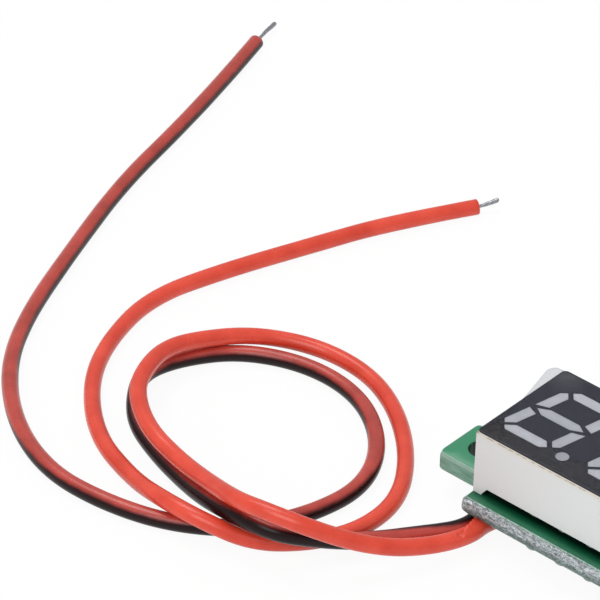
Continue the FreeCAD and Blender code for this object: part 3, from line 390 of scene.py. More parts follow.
BARE_ROOT = 0.12 * MM  # radius of a bare end where it leaves the insulation
BARE_TIP = 0.2 * MM  # its radius at the tip
SOLDERED_LENGTH = 1.35 * MM
for name, route, material, slot, tip_length, lift, real_length, seed in (
        ("red", RED_ROUTE, red_pvc, "red_insulation", 2.3 * MM, (0, 0, 0.32 * MM), 0.1595, 11),
        ("dark", DARK_ROUTE, two_tone_pvc, "two_tone_insulation", 3.9 * MM, (0.24 * MM, 0.14 * MM, 0),
         0.1655, 23)):
    line = smooth_line(route)
    mesh = lead_mesh(f"{name}_lead_insulation", line, seed, name == "red")
    insulation = add_piece(f"{name}_insulation", mesh, material, "module", slot, f"{name}_lead")
    heading = line[-1] - line[-3]
    bare = strand_mesh(line[-1] - heading * 0.5, heading, lift, tip_length, BARE_ROOT, BARE_TIP, seed)
    tip = add_piece(f"{name}_bare_strands", bare, tinned, "module", "tinned_metal", f"{name}_lead_tip")
    soldered = strand_mesh(line[0] - (0, 0.3 * MM, 0), (0, 1, 0), (0, 0, 0), SOLDERED_LENGTH, BARE_TIP,
                           BARE_TIP, seed + 1)
    board_end = add_piece(f"{name}_soldered_strands", soldered, tinned, "module", "tinned_metal",
                          f"{name}_lead_board_end")

# ------------------------------------------------------------------------------------------------------
# Circuit board: 1.6 mm glass-epoxy laminate under green solder mask. The long edges were scored and
# snapped, so they show torn white fibres between two smooth bevels. The ends and the drilled ears were
# milled.
# ------------------------------------------------------------------------------------------------------
MASK, LAMINATE, BORE = 0, 1, 2  # the board's materials, in order
OUTLINE_STEP = 0.05
HOLE_SIDES = 40
HOLE_BEVEL = 0.03
PIN_HOLE_RADIUS = 0.45


def node_places(node):
    """The corners of a CAD node's mesh in mm, as an array."""
    mesh = frame["nodes"][node].data
    places = np.empty(len(mesh.vertices) * 3)
    mesh.vertices.foreach_get("co", places)
    return places.reshape(-1, 3) / MM


board_places = node_places("circuit_board")
BOARD_BOTTOM = board_places[:, 2].min()
EAR_END, HALF_WIDTH, BOARD_TOP = board_places.max(axis=0)
HALF_LENGTH = board_places[np.abs(board_places[:, 1]) > HALF_WIDTH - 0.5, 0].max()
ear_sides = board_places[board_places[:, 0] > HALF_LENGTH + 0.5, 1]
EAR_LOW, EAR_HIGH = ear_sides.min(), ear_sides.max()
fixing = next(mount for mount in frame["record"]["mounts"] if mount["name"] == "fixing_holes")
EAR_HOLES = [(side * fixing["dims"]["spacing_x_mm"] / 2, fixing["pos_m"][1] / MM,
              fixing["dims"]["hole_r_mm"]) for side in (-1, 1)]
PIN_ROWS = {}
for row in ("upper", "lower"):
    pin_places = node_places(f"{row}_pins")
    pin_widths = np.sort(pin_places[:, 0]).reshape(6, -1)
    PIN_ROWS[row] = [(x, pin_places[:, 1].mean()) for x in (pin_widths[:, 0] + pin_widths[:, -1]) / 2]
HOLES = EAR_HOLES + [(x, y, PIN_HOLE_RADIUS) for row in PIN_ROWS.values() for x, y in row]


def rounded_outline(corners, spacing):
    """Evenly spaced points round a polygon of corners (x, y, radius), each rounded by a parabola.

    A parabola is (1 - t)^2 times its start, 2t(1 - t) times the corner and t^2 times its end, added up.
    It leaves and meets the sides where an arc of that radius would."""
    places = np.array([corner[:2] for corner in corners], float)
    share = np.linspace(0, 1, 9)[:, None]
    dots = []
    for index, (_, _, radius) in enumerate(corners):
        here = places[index]
        back = places[index - 1] - here
        on = places[(index + 1) % len(corners)] - here
        back /= np.linalg.norm(back)
        on /= np.linalg.norm(on)
        reach = radius / math.tan(math.acos(float(back @ on)) / 2)
        start, end = here + back * reach, here + on * reach
        dots.append((1 - share) ** 2 * start + 2 * share * (1 - share) * here + share ** 2 * end)
    dots = np.vstack(dots + [dots[0][:1]])
    distance = np.concatenate([[0], np.cumsum(np.linalg.norm(np.diff(dots, axis=0), axis=1))])
    wanted = np.linspace(0, distance[-1], int(distance[-1] / spacing), endpoint=False)
    return np.stack([np.interp(wanted, distance, dots[:, axis]) for axis in (0, 1)], axis=1)


def ripples(rows, count, row_step, step, seed):
    """Chance heights on a grid that closes round: one every few cells, smoothly filled in between."""
    chance = np.random.default_rng(seed)
    knots = chance.normal(0, 1, (max(2, rows // row_step + 2), count // step))
    across = np.linspace(0, knots.shape[1], count, endpoint=False)
    low = np.floor(across).astype(int)
    part = across - low
    part = part * part * (3 - 2 * part)
    wide = knots[:, low % knots.shape[1]] * (1 - part) + knots[:, (low + 1) % knots.shape[1]] * part
    down = np.linspace(0, len(knots) - 1.001, rows)
    level = np.floor(down).astype(int)
    rest = (down - level)[:, None]
    return wide[level] * (1 - rest) + wide[level + 1] * rest


def edge_insets(outline, torn, depths):
    """How far in mm the board's edge stands in from its outline, by depth below the top and round it.

    It is torn share times the scored profile + (1 - torn share) times the milled profile + ripples,
    which are strong where the edge is torn and die out towards both faces. At the corners it swells out
    by a bell."""
    scored = np.interp(depths, [0, 0.02, 0.06, 0.1, 0.2, 0.4, 1.1, 1.2, 1.6],
                       [0.2, 0.15, 0.13, 0.15, 0.08, 0, 0, 0.03, 0.28])
    milled = np.interp(depths, [0, 0.02, 0.06, 0.4, 1.48, 1.6], [0.2, 0.16, 0.13, 0, 0, 0.12])
    rough = np.interp(depths, [0, 0.05, 0.1, 0.2, 1, 1.15, 1.3, 1.6], [0, 0.1, 0.6, 1, 1, 0.8, 0.25, 0])
    rows, count = len(depths), len(outline)
    tears = np.clip(0.5 * ripples(rows, count, 2, 9, 3) + 0.45 * ripples(rows, count, 1, 4, 4)
                    + 0.35 * ripples(rows, count, 1, 2, 5), -1.6, 2.2)
    inset = torn * scored[:, None] + (1 - torn) * milled[:, None]
    inset += (0.25 + 0.75 * torn) * rough[:, None] * 0.05 * tears
    corner = np.hypot(np.abs(outline[:, 0]) - HALF_LENGTH + 0.1, np.abs(outline[:, 1]) - HALF_WIDTH + 0.1)
    swell = np.interp(depths, [0, 0.06, 0.3, 0.8, 1.2, 1.6], [-0.3, -0.25, 0.7, 1, 0.85, 0.1])
    return np.maximum(inset, 0) - 0.18 * bell(corner, 0, 0.55) * swell[:, None]


def face_triangles(places, loops):
    """Triangles that fill a flat face between its border, the first loop, and the holes' rims."""
    order = np.concatenate(loops)
    edges = []
    for loop, end in zip(loops, np.cumsum([len(loop) for loop in loops])):
        numbers = np.arange(end - len(loop), end)
        edges += np.stack([numbers, np.roll(numbers, -1)], axis=1).tolist()
    flat = [Vector(place) for place in places[order, :2]]
    spots, _, triangles, _, _, _ = geometry.delaunay_2d_cdt(flat, edges, [], 1, 1e-7)
    triangles = np.array(triangles)
    middle = np.array([tuple(spot) for spot in spots])[triangles].mean(axis=1)
    kept = np.ones(len(triangles), bool)
    for x, y, radius in HOLES:
        kept &= np.hypot(middle[:, 0] - x, middle[:, 1] - y) > radius + 0.02
    return order[triangles[kept]]


def board_mesh():
    """The board: its outline carried down through levels, each drawn in by its insets, and flat faces.

    Each hole is a short tube from face to face, bevelled at both rims."""
    right_end = [(HALF_LENGTH, -HALF_WIDTH, 0.4), (HALF_LENGTH, EAR_LOW, 0.3), (EAR_END, EAR_LOW, 0.6),
                 (EAR_END, EAR_HIGH, 0.6), (HALF_LENGTH, EAR_HIGH, 0.3), (HALF_LENGTH, HALF_WIDTH, 0.4)]
    left_end = [(-x, y, radius) for x, y, radius in reversed(right_end)]
    outline = rounded_outline(left_end[-1:] + right_end + left_end[:-1], OUTLINE_STEP)
    ahead = np.roll(outline, -2, axis=0) - np.roll(outline, 2, axis=0)
    ahead /= np.linalg.norm(ahead, axis=1, keepdims=True)
    outward = np.stack([ahead[:, 1], -ahead[:, 0]], axis=1)
    torn = np.clip((np.abs(outline[:, 1]) - (HALF_WIDTH - 0.34)) / 0.26, 0, 1)
    depths = np.concatenate([[0, 0.01, 0.03, 0.07], np.linspace(0.12, 1.2, 19),
                             [1.28, 1.36, 1.44, 1.52, 1.58, BOARD_TOP - BOARD_BOTTOM]])
    rows, count = len(depths), len(outline)
    wall = np.empty((rows, count, 3))
    wall[:, :, :2] = outline - outward * edge_insets(outline, torn, depths)[:, :, None]
    wall[:, :, 2] = BOARD_TOP - depths[:, None]
    places = [wall.reshape(-1, 3)]
    grid = np.arange(rows * count).reshape(rows, count)
    right = np.roll(grid, -1, axis=1)
    faces = np.stack([grid[1:], right[1:], right[:-1], grid[:-1]], axis=-1).reshape(-1, 4).tolist()
    kinds = [MASK] * (2 * count) + [LAMINATE] * ((rows - 4) * count) + [MASK] * count
    angle = np.linspace(0, 2 * np.pi, HOLE_SIDES, endpoint=False)
    heights = np.array([BOARD_TOP, BOARD_TOP - HOLE_BEVEL, BOARD_BOTTOM + HOLE_BEVEL, BOARD_BOTTOM])
    wider = np.array([HOLE_BEVEL, 0, 0, HOLE_BEVEL])[:, None]
    loops = {"top": [grid[0]], "bottom": [grid[-1]]}
    for number, (x, y, radius) in enumerate(HOLES):
        tube = np.empty((4, HOLE_SIDES, 3))
        tube[:, :, 0] = x + (radius + wider) * np.cos(angle)
        tube[:, :, 1] = y + (radius + wider) * np.sin(angle)
        tube[:, :, 2] = heights[:, None]
        places.append(tube.reshape(-1, 3))
        ring = grid.size + (4 * number + np.arange(4)[:, None]) * HOLE_SIDES + np.arange(HOLE_SIDES)
        after = np.roll(ring, -1, axis=1)
        faces += np.stack([ring[:-1], after[:-1], after[1:], ring[1:]], axis=-1).reshape(-1, 4).tolist()
        kinds += [MASK] * HOLE_SIDES + [BORE] * HOLE_SIDES + [MASK] * HOLE_SIDES
        loops["top"].append(ring[0])
        loops["bottom"].append(ring[3])
    places = np.vstack(places)
    top, bottom = (face_triangles(places, loops[side]) for side in ("top", "bottom"))
    for triangles in (top, bottom[:, ::-1]):
        faces += triangles.tolist()
        kinds += [MASK] * len(triangles)
    mesh = bpy.data.meshes.new("board")
    mesh.from_pydata((places * MM).tolist(), [], faces)
    mesh.polygons.foreach_set("material_index", kinds)
    torn_share = np.zeros(len(places), np.float32)
    torn_share[:grid.size] = np.tile(torn, rows)
    mesh.attributes.new("torn", "FLOAT", "POINT").data.foreach_set("value", torn_share)
    mesh.shade_smooth()
    mesh.set_sharp_from_angle(angle=math.radians(40))
    return mesh


# Solder mask: a glossy green lacquer poured in a coat that thins over some 6 mm. Painted shade makes it
# near black under the display, with its gloss turned down there; the shade lifts to six tenths of the lit
# green over a band along each long wall and is gone past the display's ends and low on the edges and
# back. The glass weave under it, its threads 0.417 mm apart, is a faint relief.
display_low, display_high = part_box("display_housing")
mask, mask_out = new_material("green solder mask")
mask_where = add_node(mask, "TexCoord").outputs["Object"]
mask_pour = add_node(mask, "TexNoise", {"Vector": mask_where, "Scale": 1 / (6.25 * MM), "Detail": 1.0})
mask_weave = add_node(mask, "TexNoise", {"Vector": mask_where, "Scale": 1 / (0.417 * MM), "Detail": 3.0})
mask_thin = add_node(mask, "MapRange", {"Value": mask_pour, "From Min": 0.42, "From Max": 0.6})
mask_lit = add_node(mask, "Mix", {"Factor": mask_thin, "A": linear("#127A50"), "B": linear("#1C8259")},
                    data_type="RGBA")
mask_side = add_node(mask, "SeparateXYZ", {0: mask_where})
mask_across = add_node(mask, "Math", {0: mask_side.outputs["Y"]}, operation="ABSOLUTE")
mask_near = add_node(mask, "MapRange", {"Value": mask_across, "From Min": display_high.y - 0.33 * MM,
                                        "From Max": display_high.y + 0.52 * MM, "To Max": 0.6})
mask_length = add_node(mask, "Math", {0: mask_side.outputs["X"]}, operation="ABSOLUTE")
mask_ear = add_node(mask, "MapRange", {"Value": mask_length, "From Min": display_high.x - 0.4 * MM,
                                       "From Max": display_high.x + 0.2 * MM})
mask_back = add_node(mask, "MapRange", {"Value": mask_side.outputs["Z"],
                                        "From Min": (BOARD_BOTTOM + 0.6) * MM,
                                        "From Max": (BOARD_TOP - 0.6) * MM, "To Min": 1.0, "To Max": 0.0})
mask_unshaded = add_node(mask, "Math", {0: mask_near, 1: mask_ear}, operation="MAXIMUM")
mask_unshaded = add_node(mask, "Math", {0: mask_unshaded, 1: mask_back}, operation="MAXIMUM")
# Painted shade: the mask's green is mixed towards near black under the display
mask_colour = add_node(mask, "Mix", {"Factor": mask_unshaded, "A": linear("#042015"), "B": mask_lit},
                       data_type="RGBA")
# The same painted shade turns the gloss down
mask_gloss = add_node(mask, "MapRange", {"Value": mask_unshaded, "To Min": 0.03, "To Max": 0.55})
mask_bump = add_node(mask, "Bump", {"Height": mask_weave, "Strength": 0.15, "Distance": 0.02 * MM})
mask_look = add_node(mask, "BsdfPrincipled", {"Base Color": mask_colour, "Roughness": 0.33, "IOR": 1.6,
                                              "Specular IOR Level": mask_gloss, "Normal": mask_bump})
mask.node_tree.links.new(mask_look.outputs[0], mask_out.inputs["Surface"])

# Bare laminate, cut: milled, it shows its glass layers, 0.154 mm thick, through green resin; snapped, it
# is torn into pale curly fibres under a chipped lip. Real fibres are 0.01 mm thick, too fine to show, so
# they are drawn as curls 0.357 mm long with flecks half that size.
laminate, laminate_out = new_material("glass-epoxy laminate, cut edge")
laminate_where = add_node(laminate, "TexCoord").outputs["Object"]
laminate_height = add_node(laminate, "SeparateXYZ", {0: laminate_where}).outputs["Z"]
laminate_torn = add_node(laminate, "Attribute", attribute_name="torn").outputs["Fac"]
# Colours by depth below the top in mm: first the torn edge, then the milled one
edge_depth = add_node(laminate, "MapRange", {"Value": laminate_height, "From Min": BOARD_TOP * MM,
                                             "From Max": BOARD_BOTTOM * MM})
torn_tint, milled_tint = (
    add_node(laminate, "ValToRGB", {0: edge_depth},
             stops=[(depth / (BOARD_TOP - BOARD_BOTTOM), code) for depth, code in stops])
    for stops in (
        ((0, "#B6DCC8"), (0.04, "#C2E0D0"), (0.13, "#A9B4AE"), (0.24, "#FFFFFF"), (0.8, "#F0F0F0"),
         (1.1, "#A3B5AD"), (1.6, "#9BB5AA")),
        ((0, "#AED2C0"), (0.06, "#9AB8AA"), (0.34, "#8BAA9C"), (0.5, "#5A967C"), (1.4, "#6C9C87"),
         (1.6, "#7FA292"))))
fibre_place = add_node(laminate, "Mapping", {"Vector": laminate_where, "Scale": (0.55, 1.0, 1.25)})
curls = add_node(laminate, "TexNoise", {"Vector": fibre_place, "Scale": 1 / (0.357 * MM), "Detail": 2.0,
                                        "Roughness": 0.6, "Distortion": 1.0})
flecks = add_node(laminate, "TexNoise", {"Vector": fibre_place, "Scale": 1 / (0.1786 * MM), "Detail": 5.0,
                                         "Roughness": 0.75, "Distortion": 0.5})
curl_apart = add_node(laminate, "Math", {0: curls, 1: 0.5}, operation="SUBTRACT")
curl_size = add_node(laminate, "Math", {0: curl_apart}, operation="ABSOLUTE")
curl_line = add_node(laminate, "MapRange", {"Value": curl_size, "From Max": 0.05, "To Min": 1.0,
                                            "To Max": 0.0})
fibre = add_node(laminate, "Math", {0: curl_line, 1: 0.22, 2: flecks}, operation="MULTIPLY_ADD")
fibre_colour = add_node(laminate, "ValToRGB", {0: fibre}, stops=[
    (0.36, "#4E585B"), (0.47, "#848E91"), (0.57, "#A6AFB3"), (0.74, "#E4E9EB")])
torn_colour = add_node(laminate, "Mix", {"Factor": 1.0, "A": fibre_colour,
                                         "B": torn_tint}, data_type="RGBA", blend_type="MULTIPLY")
lip = add_node(laminate, "MapRange", {"Value": laminate_height, "From Min": (BOARD_TOP - 0.16) * MM,
                                      "From Max": (BOARD_TOP - 0.11) * MM})
chips = add_node(laminate, "MapRange", {"Value": flecks, "From Min": 0.38, "From Max": 0.54,
                                        "To Min": 0.2, "To Max": 0.85})
lip_chipped = add_node(laminate, "Math", {0: lip, 1: chips}, operation="MULTIPLY")
torn_colour = add_node(laminate, "Mix", {"Factor": lip_chipped, "A": torn_colour, "B": linear("#B9D8CA")},
                       data_type="RGBA")
layer_place = add_node(laminate, "Mapping", {"Vector": laminate_where, "Scale": (0.1, 0.1, 1.0)})
layers = add_node(laminate, "TexNoise", {"Vector": layer_place, "Scale": 1 / (0.154 * MM), "Detail": 3.0,
                                         "Roughness": 0.6})
layer_share = add_node(laminate, "MapRange", {"Value": layers, "From Min": 0.35, "From Max": 0.7})
milled_colour = add_node(laminate, "Mix", {"Factor": layer_share, "A": milled_tint,
                                           "B": linear("#93BCA9")}, data_type="RGBA")
edge_colour = add_node(laminate, "Mix", {"Factor": laminate_torn, "A": milled_colour, "B": torn_colour},
                       data_type="RGBA")
edge_bump = add_node(laminate, "Bump", {"Height": fibre, "Strength": 0.6, "Distance": 0.05 * MM})
edge_look = add_node(laminate, "BsdfPrincipled", {"Base Color": edge_colour, "Roughness": 0.55,
                                                  "IOR": 1.5, "Normal": edge_bump})
laminate.node_tree.links.new(edge_look.outputs[0], laminate_out.inputs["Surface"])

# Drilled laminate: the bore's wall is painted dark green as the shade deep in the hole, with pale scores
# round it. The drill's scores are finer than shows, so they are drawn 0.192 mm wide.
bore, bore_out = new_material("glass-epoxy laminate, drilled")
bore_where = add_node(bore, "TexCoord").outputs["Object"]
bore_place = add_node(bore, "Mapping", {"Vector": bore_where, "Scale": (1.0, 1.0, 0.1)})
bore_score = add_node(bore, "TexNoise", {"Vector": bore_place, "Scale": 1 / (0.192 * MM), "Detail": 3.0})
bore_share = add_node(bore, "MapRange", {"Value": bore_score, "From Min": 0.45, "From Max": 0.68})
# Painted shade: the wall is near black-green between the pale scores
bore_colour = add_node(bore, "Mix", {"Factor": bore_share, "A": linear("#0C2A1C"),
                                     "B": linear("#4F7A62")}, data_type="RGBA")
bore_bump = add_node(bore, "Bump", {"Height": bore_score, "Strength": 0.4, "Distance": 0.03 * MM})
bore_look = add_node(bore, "BsdfPrincipled", {"Base Color": bore_colour, "Roughness": 0.5,
                                              "Normal": bore_bump})
bore.node_tree.links.new(bore_look.outputs[0], bore_out.inputs["Surface"])

board = board_mesh()
for finish in (mask, laminate, bore):
    board.materials.append(finish)
add_piece("board", board, mask, "module", "solder_mask", "circuit_board")

# ------------------------------------------------------------------------------------------------------
# Display housing: a white ABS moulding that stands on four corner feet over the board. It holds the
# light wells, and its edges are barely rounded by the mould.
# ------------------------------------------------------------------------------------------------------
MERGE_WITHIN = 5e-7
FLAT_WITHIN = math.radians(0.8)
SHARP_FROM = math.radians(30)
SHADED_SHARP_FROM = math.radians(35)


def merged(node):
    """A bare copy of a CAD piece's mesh, and the BMesh in which its triangles are joined into faces."""
    mesh = frame["nodes"][node].data.copy()
    mesh.materials.clear()
    work = bmesh.new()
    work.from_mesh(mesh)
    bmesh.ops.remove_doubles(work, verts=work.verts, dist=MERGE_WITHIN)
    bmesh.ops.dissolve_limit(work, angle_limit=FLAT_WITHIN, verts=work.verts, edges=work.edges)
    return mesh, work


def add_softened(node, width, material, slot, body="module", segments=3):
    """Shows a CAD piece's copy in its place, its sharp edges rounded and its flat faces kept flat."""
    mesh, work = merged(node)
    sharp = [edge for edge in work.edges if edge.is_manifold and edge.calc_face_angle() > SHARP_FROM]
    bmesh.ops.bevel(work, geom=sharp, offset=width, offset_type="OFFSET", segments=segments, profile=0.5,
                    affect="EDGES", clamp_overlap=True)
    work.to_mesh(mesh)
    work.free()
    mesh.shade_smooth()
    mesh.set_sharp_from_angle(angle=SHADED_SHARP_FROM)
    piece = add_piece(f"{node}_finished", mesh, material, body, slot, node)
    flats = piece.modifiers.new("flat faces", "WEIGHTED_NORMAL")
    flats.keep_sharp = True


# White ABS, injection moulded: satin, slightly translucent, cloudy over 7.7 mm and creamier at the rim,
# where a dark line marks the seam to the face, broken every 0.435 mm or so. The mould's spark-eroded
# grain is too fine to show, so it is drawn 0.167 mm wide.
abs_white, abs_out = new_material("white ABS, moulded")
abs_where = add_node(abs_white, "TexCoord").outputs["Object"]
abs_grain = add_node(abs_white, "TexNoise", {"Vector": abs_where, "Scale": 1 / (0.167 * MM),
                                             "Detail": 3.0})
abs_cloud = add_node(abs_white, "TexNoise", {"Vector": abs_where, "Scale": 1 / (7.7 * MM), "Detail": 2.0})
abs_colour = add_node(abs_white, "Mix", {"Factor": abs_cloud, "A": linear("#DADCDC"),
                                         "B": linear("#E0E3E3")}, data_type="RGBA")
abs_height = add_node(abs_white, "SeparateXYZ", {0: abs_where}).outputs["Z"]
seam_height = display_high.z - 0.03 * MM
rim_share = add_node(abs_white, "MapRange", {"Value": abs_height, "From Min": display_high.z - 0.45 * MM,
                                             "From Max": seam_height, "To Max": 0.7})
rim_colour = add_node(abs_white, "Mix", {"Factor": rim_share, "A": abs_colour, "B": linear("#DAD6C9")},
                      data_type="RGBA")
seam = add_node(abs_white, "Math", {0: abs_height, 1: seam_height, 2: 0.035 * MM}, operation="COMPARE")
seam_speck = add_node(abs_white, "TexNoise", {"Vector": abs_where, "Scale": 1 / (0.435 * MM),
                                              "Detail": 4.0})
seam_dark = add_node(abs_white, "MapRange", {"Value": seam_speck, "From Min": 0.46, "From Max": 0.56,
                                             "To Max": 0.8})
seam_line = add_node(abs_white, "Math", {0: seam, 1: seam_dark}, operation="MULTIPLY")
seam_colour = add_node(abs_white, "Mix", {"Factor": seam_line, "A": rim_colour, "B": linear("#6E6353")},
                       data_type="RGBA")
abs_bump = add_node(abs_white, "Bump", {"Height": abs_grain, "Strength": 0.12, "Distance": 0.01 * MM})
abs_look = add_node(abs_white, "BsdfPrincipled", {
    "Base Color": seam_colour, "Roughness": 0.42, "IOR": 1.5, "Normal": abs_bump,
    "Subsurface Weight": 0.15, "Subsurface Radius": (0.6, 0.6, 0.5), "Subsurface Scale": 0.5 * MM})
abs_white.node_tree.links.new(abs_look.outputs[0], abs_out.inputs["Surface"])
add_softened("display_housing", 0.05 * MM, abs_white, "white_plastic")

# ------------------------------------------------------------------------------------------------------
# Face: a thin white plate printed dark grey over its front, laid on the housing. Milky epoxy is cast in
# the light wells, flush with the print, and its skin sinks a little in from each well's edge.
# ------------------------------------------------------------------------------------------------------
MENISCUS_WIDTH = 0.15 * MM
MENISCUS_DEPTH = 0.012 * MM

# Screen-printed ink: dark grey and matt over the front, with the plate's creamy side under it. The
# ink's pigment is too fine to show, so its grain is drawn 0.192 mm wide.
face_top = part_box("display_face")[1].z
ink, ink_out = new_material("dark grey printed ink")
ink_where = add_node(ink, "TexCoord").outputs["Object"]
ink_grain = add_node(ink, "TexNoise", {"Vector": ink_where, "Scale": 1 / (0.192 * MM), "Detail": 5.0,
                                       "Roughness": 0.7})
ink_share = add_node(ink, "MapRange", {"Value": ink_grain, "From Min": 0.38, "From Max": 0.62})
ink_colour = add_node(ink, "Mix", {"Factor": ink_share, "A": linear("#24252E"), "B": linear("#353641")},
                      data_type="RGBA")
ink_height = add_node(ink, "SeparateXYZ", {0: ink_where}).outputs["Z"]
ink_coat = add_node(ink, "MapRange", {"Value": ink_height, "From Min": face_top - 0.03 * MM,
                                      "From Max": face_top - 0.02 * MM})
plate_colour = add_node(ink, "Mix", {"Factor": ink_coat, "A": linear("#DAD5C6"), "B": ink_colour},
                        data_type="RGBA")
ink_bump = add_node(ink, "Bump", {"Height": ink_grain, "Strength": 0.12, "Distance": 0.01 * MM})
ink_look = add_node(ink, "BsdfPrincipled", {"Base Color": plate_colour, "Roughness": 0.55, "IOR": 1.45,
                                            "Specular IOR Level": 0.2, "Normal": ink_bump})
ink.node_tree.links.new(ink_look.outputs[0], ink_out.inputs["Surface"])
add_softened("display_face", 0.02 * MM, ink, "face_grey", segments=2)

# Milky epoxy, cast: pale grey, unlit, faintly cloudy in patches 0.667 mm wide, with a tone of its own
# in each well and a ring of painted shade where its skin bends
milky, milky_out = new_material("milky epoxy, cast")
milky_where = add_node(milky, "TexCoord").outputs["Object"]
milky_cloud = add_node(milky, "TexNoise", {"Vector": milky_where, "Scale": 1 / (0.667 * MM),
                                           "Detail": 4.0, "Roughness": 0.6})
milky_tone = add_node(milky, "Attribute", attribute_name="tone").outputs["Fac"]
milky_shade = add_node(milky, "Math", {0: milky_cloud, 1: 1.1, 2: milky_tone}, operation="MULTIPLY_ADD")
milky_share = add_node(milky, "MapRange", {"Value": milky_shade, "From Min": -0.45, "From Max": 1.55})
milky_colour = add_node(milky, "Mix", {"Factor": milky_share, "A": linear("#8B8E97"),
                                       "B": linear("#C1C3C9")}, data_type="RGBA")
milky_inner = add_node(milky, "Attribute", attribute_name="inner").outputs["Fac"]
# Painted shade: a darker ring along the bend of each well's meniscus
milky_bend = add_node(milky, "Math", {0: milky_inner, 1: 0.72, 2: 0.2}, operation="COMPARE")
milky_bend_shade = add_node(milky, "Math", {0: milky_bend, 1: 0.28}, operation="MULTIPLY")
milky_bend_shaded = add_node(milky, "Mix", {"Factor": milky_bend_shade, "A": milky_colour, "B": linear("#74767E")},
                        data_type="RGBA")
milky_look = add_node(milky, "BsdfPrincipled", {
    "Base Color": milky_bend_shaded, "Roughness": 0.4, "IOR": 1.5, "Subsurface Weight": 0.2,
    "Subsurface Radius": (0.5, 0.5, 0.5), "Subsurface Scale": 0.4 * MM})
milky.node_tree.links.new(milky_look.outputs[0], milky_out.inputs["Surface"])


def fill_mesh(node, low, high, seed):
    """A copy of the fills: each top gets a narrow meniscus sloping in from its edge, and its own tone.

    The tone is a chance number between low and high; inner runs from 0 at the edge to 1 past the
    meniscus."""
    mesh, work = merged(node)
    tone, inner = (work.verts.layers.float.new(label) for label in ("tone", "inner"))
    chance = np.random.default_rng(seed)
    for top in [face for face in work.faces if face.normal.z > 0.9]:
        number = chance.uniform(low, high)
        for corner in top.verts:
            corner[tone] = number
        bmesh.ops.inset_individual(work, faces=[top], thickness=MENISCUS_WIDTH, depth=-MENISCUS_DEPTH)
        for corner in top.verts:
            corner[tone] = number
            corner[inner] = 1.0
    work.to_mesh(mesh)
    work.free()
    return mesh


for node, low, high, seed in (
        ("left_digit_segments", -0.3, 0.5, 3), ("middle_digit_segments", -0.3, 0.5, 4),
        ("right_digit_segments", -0.3, 0.5, 5), ("decimal_points", -0.75, -0.6, 6)):
    add_piece(f"{node}_cast", fill_mesh(node, low, high, seed), milky, "module", "light_guide", node)

# ------------------------------------------------------------------------------------------------------
# Film: thin clear polyester that clings to the face and guards it until the meter is fitted. Its corner
# tab sticks out past the display's end.
# ------------------------------------------------------------------------------------------------------
TAB_WIDTH = 5.0
TAB_SHORTER = 0.23  # share of the CAD tab's reach past the display by which this one is shorter
film_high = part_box("protective_film")[1]

# Clear polyester: all but unseen over the face, hazy white where the tab stands free, with a dark cut
# edge and a faint smudge at the corner by which it is pulled. The haze comes in patches 1.11 mm wide.
film, film_out = new_material("clear polyester film")
film_where = add_node(film, "TexCoord").outputs["Object"]
film_along = add_node(film, "SeparateXYZ", {0: film_where}).outputs["X"]
film_haze = add_node(film, "TexNoise", {"Vector": film_where, "Scale": 1 / (1.11 * MM), "Detail": 3.0})
film_tab = add_node(film, "MapRange", {
    "Value": film_along, "From Min": display_low.x - 0.04 * MM, "From Max": display_low.x + 0.04 * MM,
    "To Min": 0.72, "To Max": 0.008})
film_smudge_place = (display_low.x + 0.8 * MM, film_high.y - 0.66 * MM, film_high.z)
film_apart = add_node(film, "VectorMath", {0: film_where, 1: film_smudge_place}, operation="DISTANCE")
film_smudge = add_node(film, "MapRange", {"Value": film_apart, "From Min": 0.3 * MM, "From Max": 1.9 * MM,
                                          "To Min": 0.11, "To Max": 0.0})
film_share = add_node(film, "Math", {0: film_haze, 1: film_smudge, 2: film_tab}, operation="MULTIPLY_ADD")
film_clear = add_node(film, "BsdfTransparent")
film_white = add_node(film, "BsdfPrincipled", {"Base Color": linear("#DADBDF"), "Roughness": 0.25})
film_sheet = add_node(film, "MixShader", {0: film_share, 1: film_clear, 2: film_white})
film_facing = add_node(film, "NewGeometry").outputs["Normal"]
film_level = add_node(film, "SeparateXYZ", {0: film_facing}).outputs["Z"]
film_edge = add_node(film, "Math", {0: film_level, 1: 0.0, 2: 0.5}, operation="COMPARE")
film_edge_share = add_node(film, "MapRange", {"Value": film_edge, "To Max": 0.85})
film_cut = add_node(film, "BsdfDiffuse", {"Color": linear("#6C6D72")})
film_look = add_node(film, "MixShader", {0: film_edge_share, 1: film_sheet, 2: film_cut})
film.node_tree.links.new(film_look.outputs[0], film_out.inputs["Surface"])

sheet = frame["nodes"]["protective_film"].data.copy()
sheet.materials.clear()
sheet_places = node_places("protective_film")
beyond = np.minimum(sheet_places[:, 0] - display_low.x / MM + 0.04, 0)
squeeze = np.interp(sheet_places[:, 1], [film_high.y / MM - TAB_WIDTH, film_high.y / MM], [0.05, -0.115])
sheet_places[:, 0] -= TAB_SHORTER * beyond
sheet_places[:, 1] += np.where(beyond < -0.01, squeeze, 0)
sheet.vertices.foreach_set("co", (sheet_places * MM).ravel())
add_piece("protective_film_lifted", sheet, film, "module", "clear_film", "protective_film")

# ------------------------------------------------------------------------------------------------------
# Inside of the display: a small tan laminate board held in the housing under the wells, with pale LED
# dice bonded to it. It is only seen past the gap under the housing.
# ------------------------------------------------------------------------------------------------------

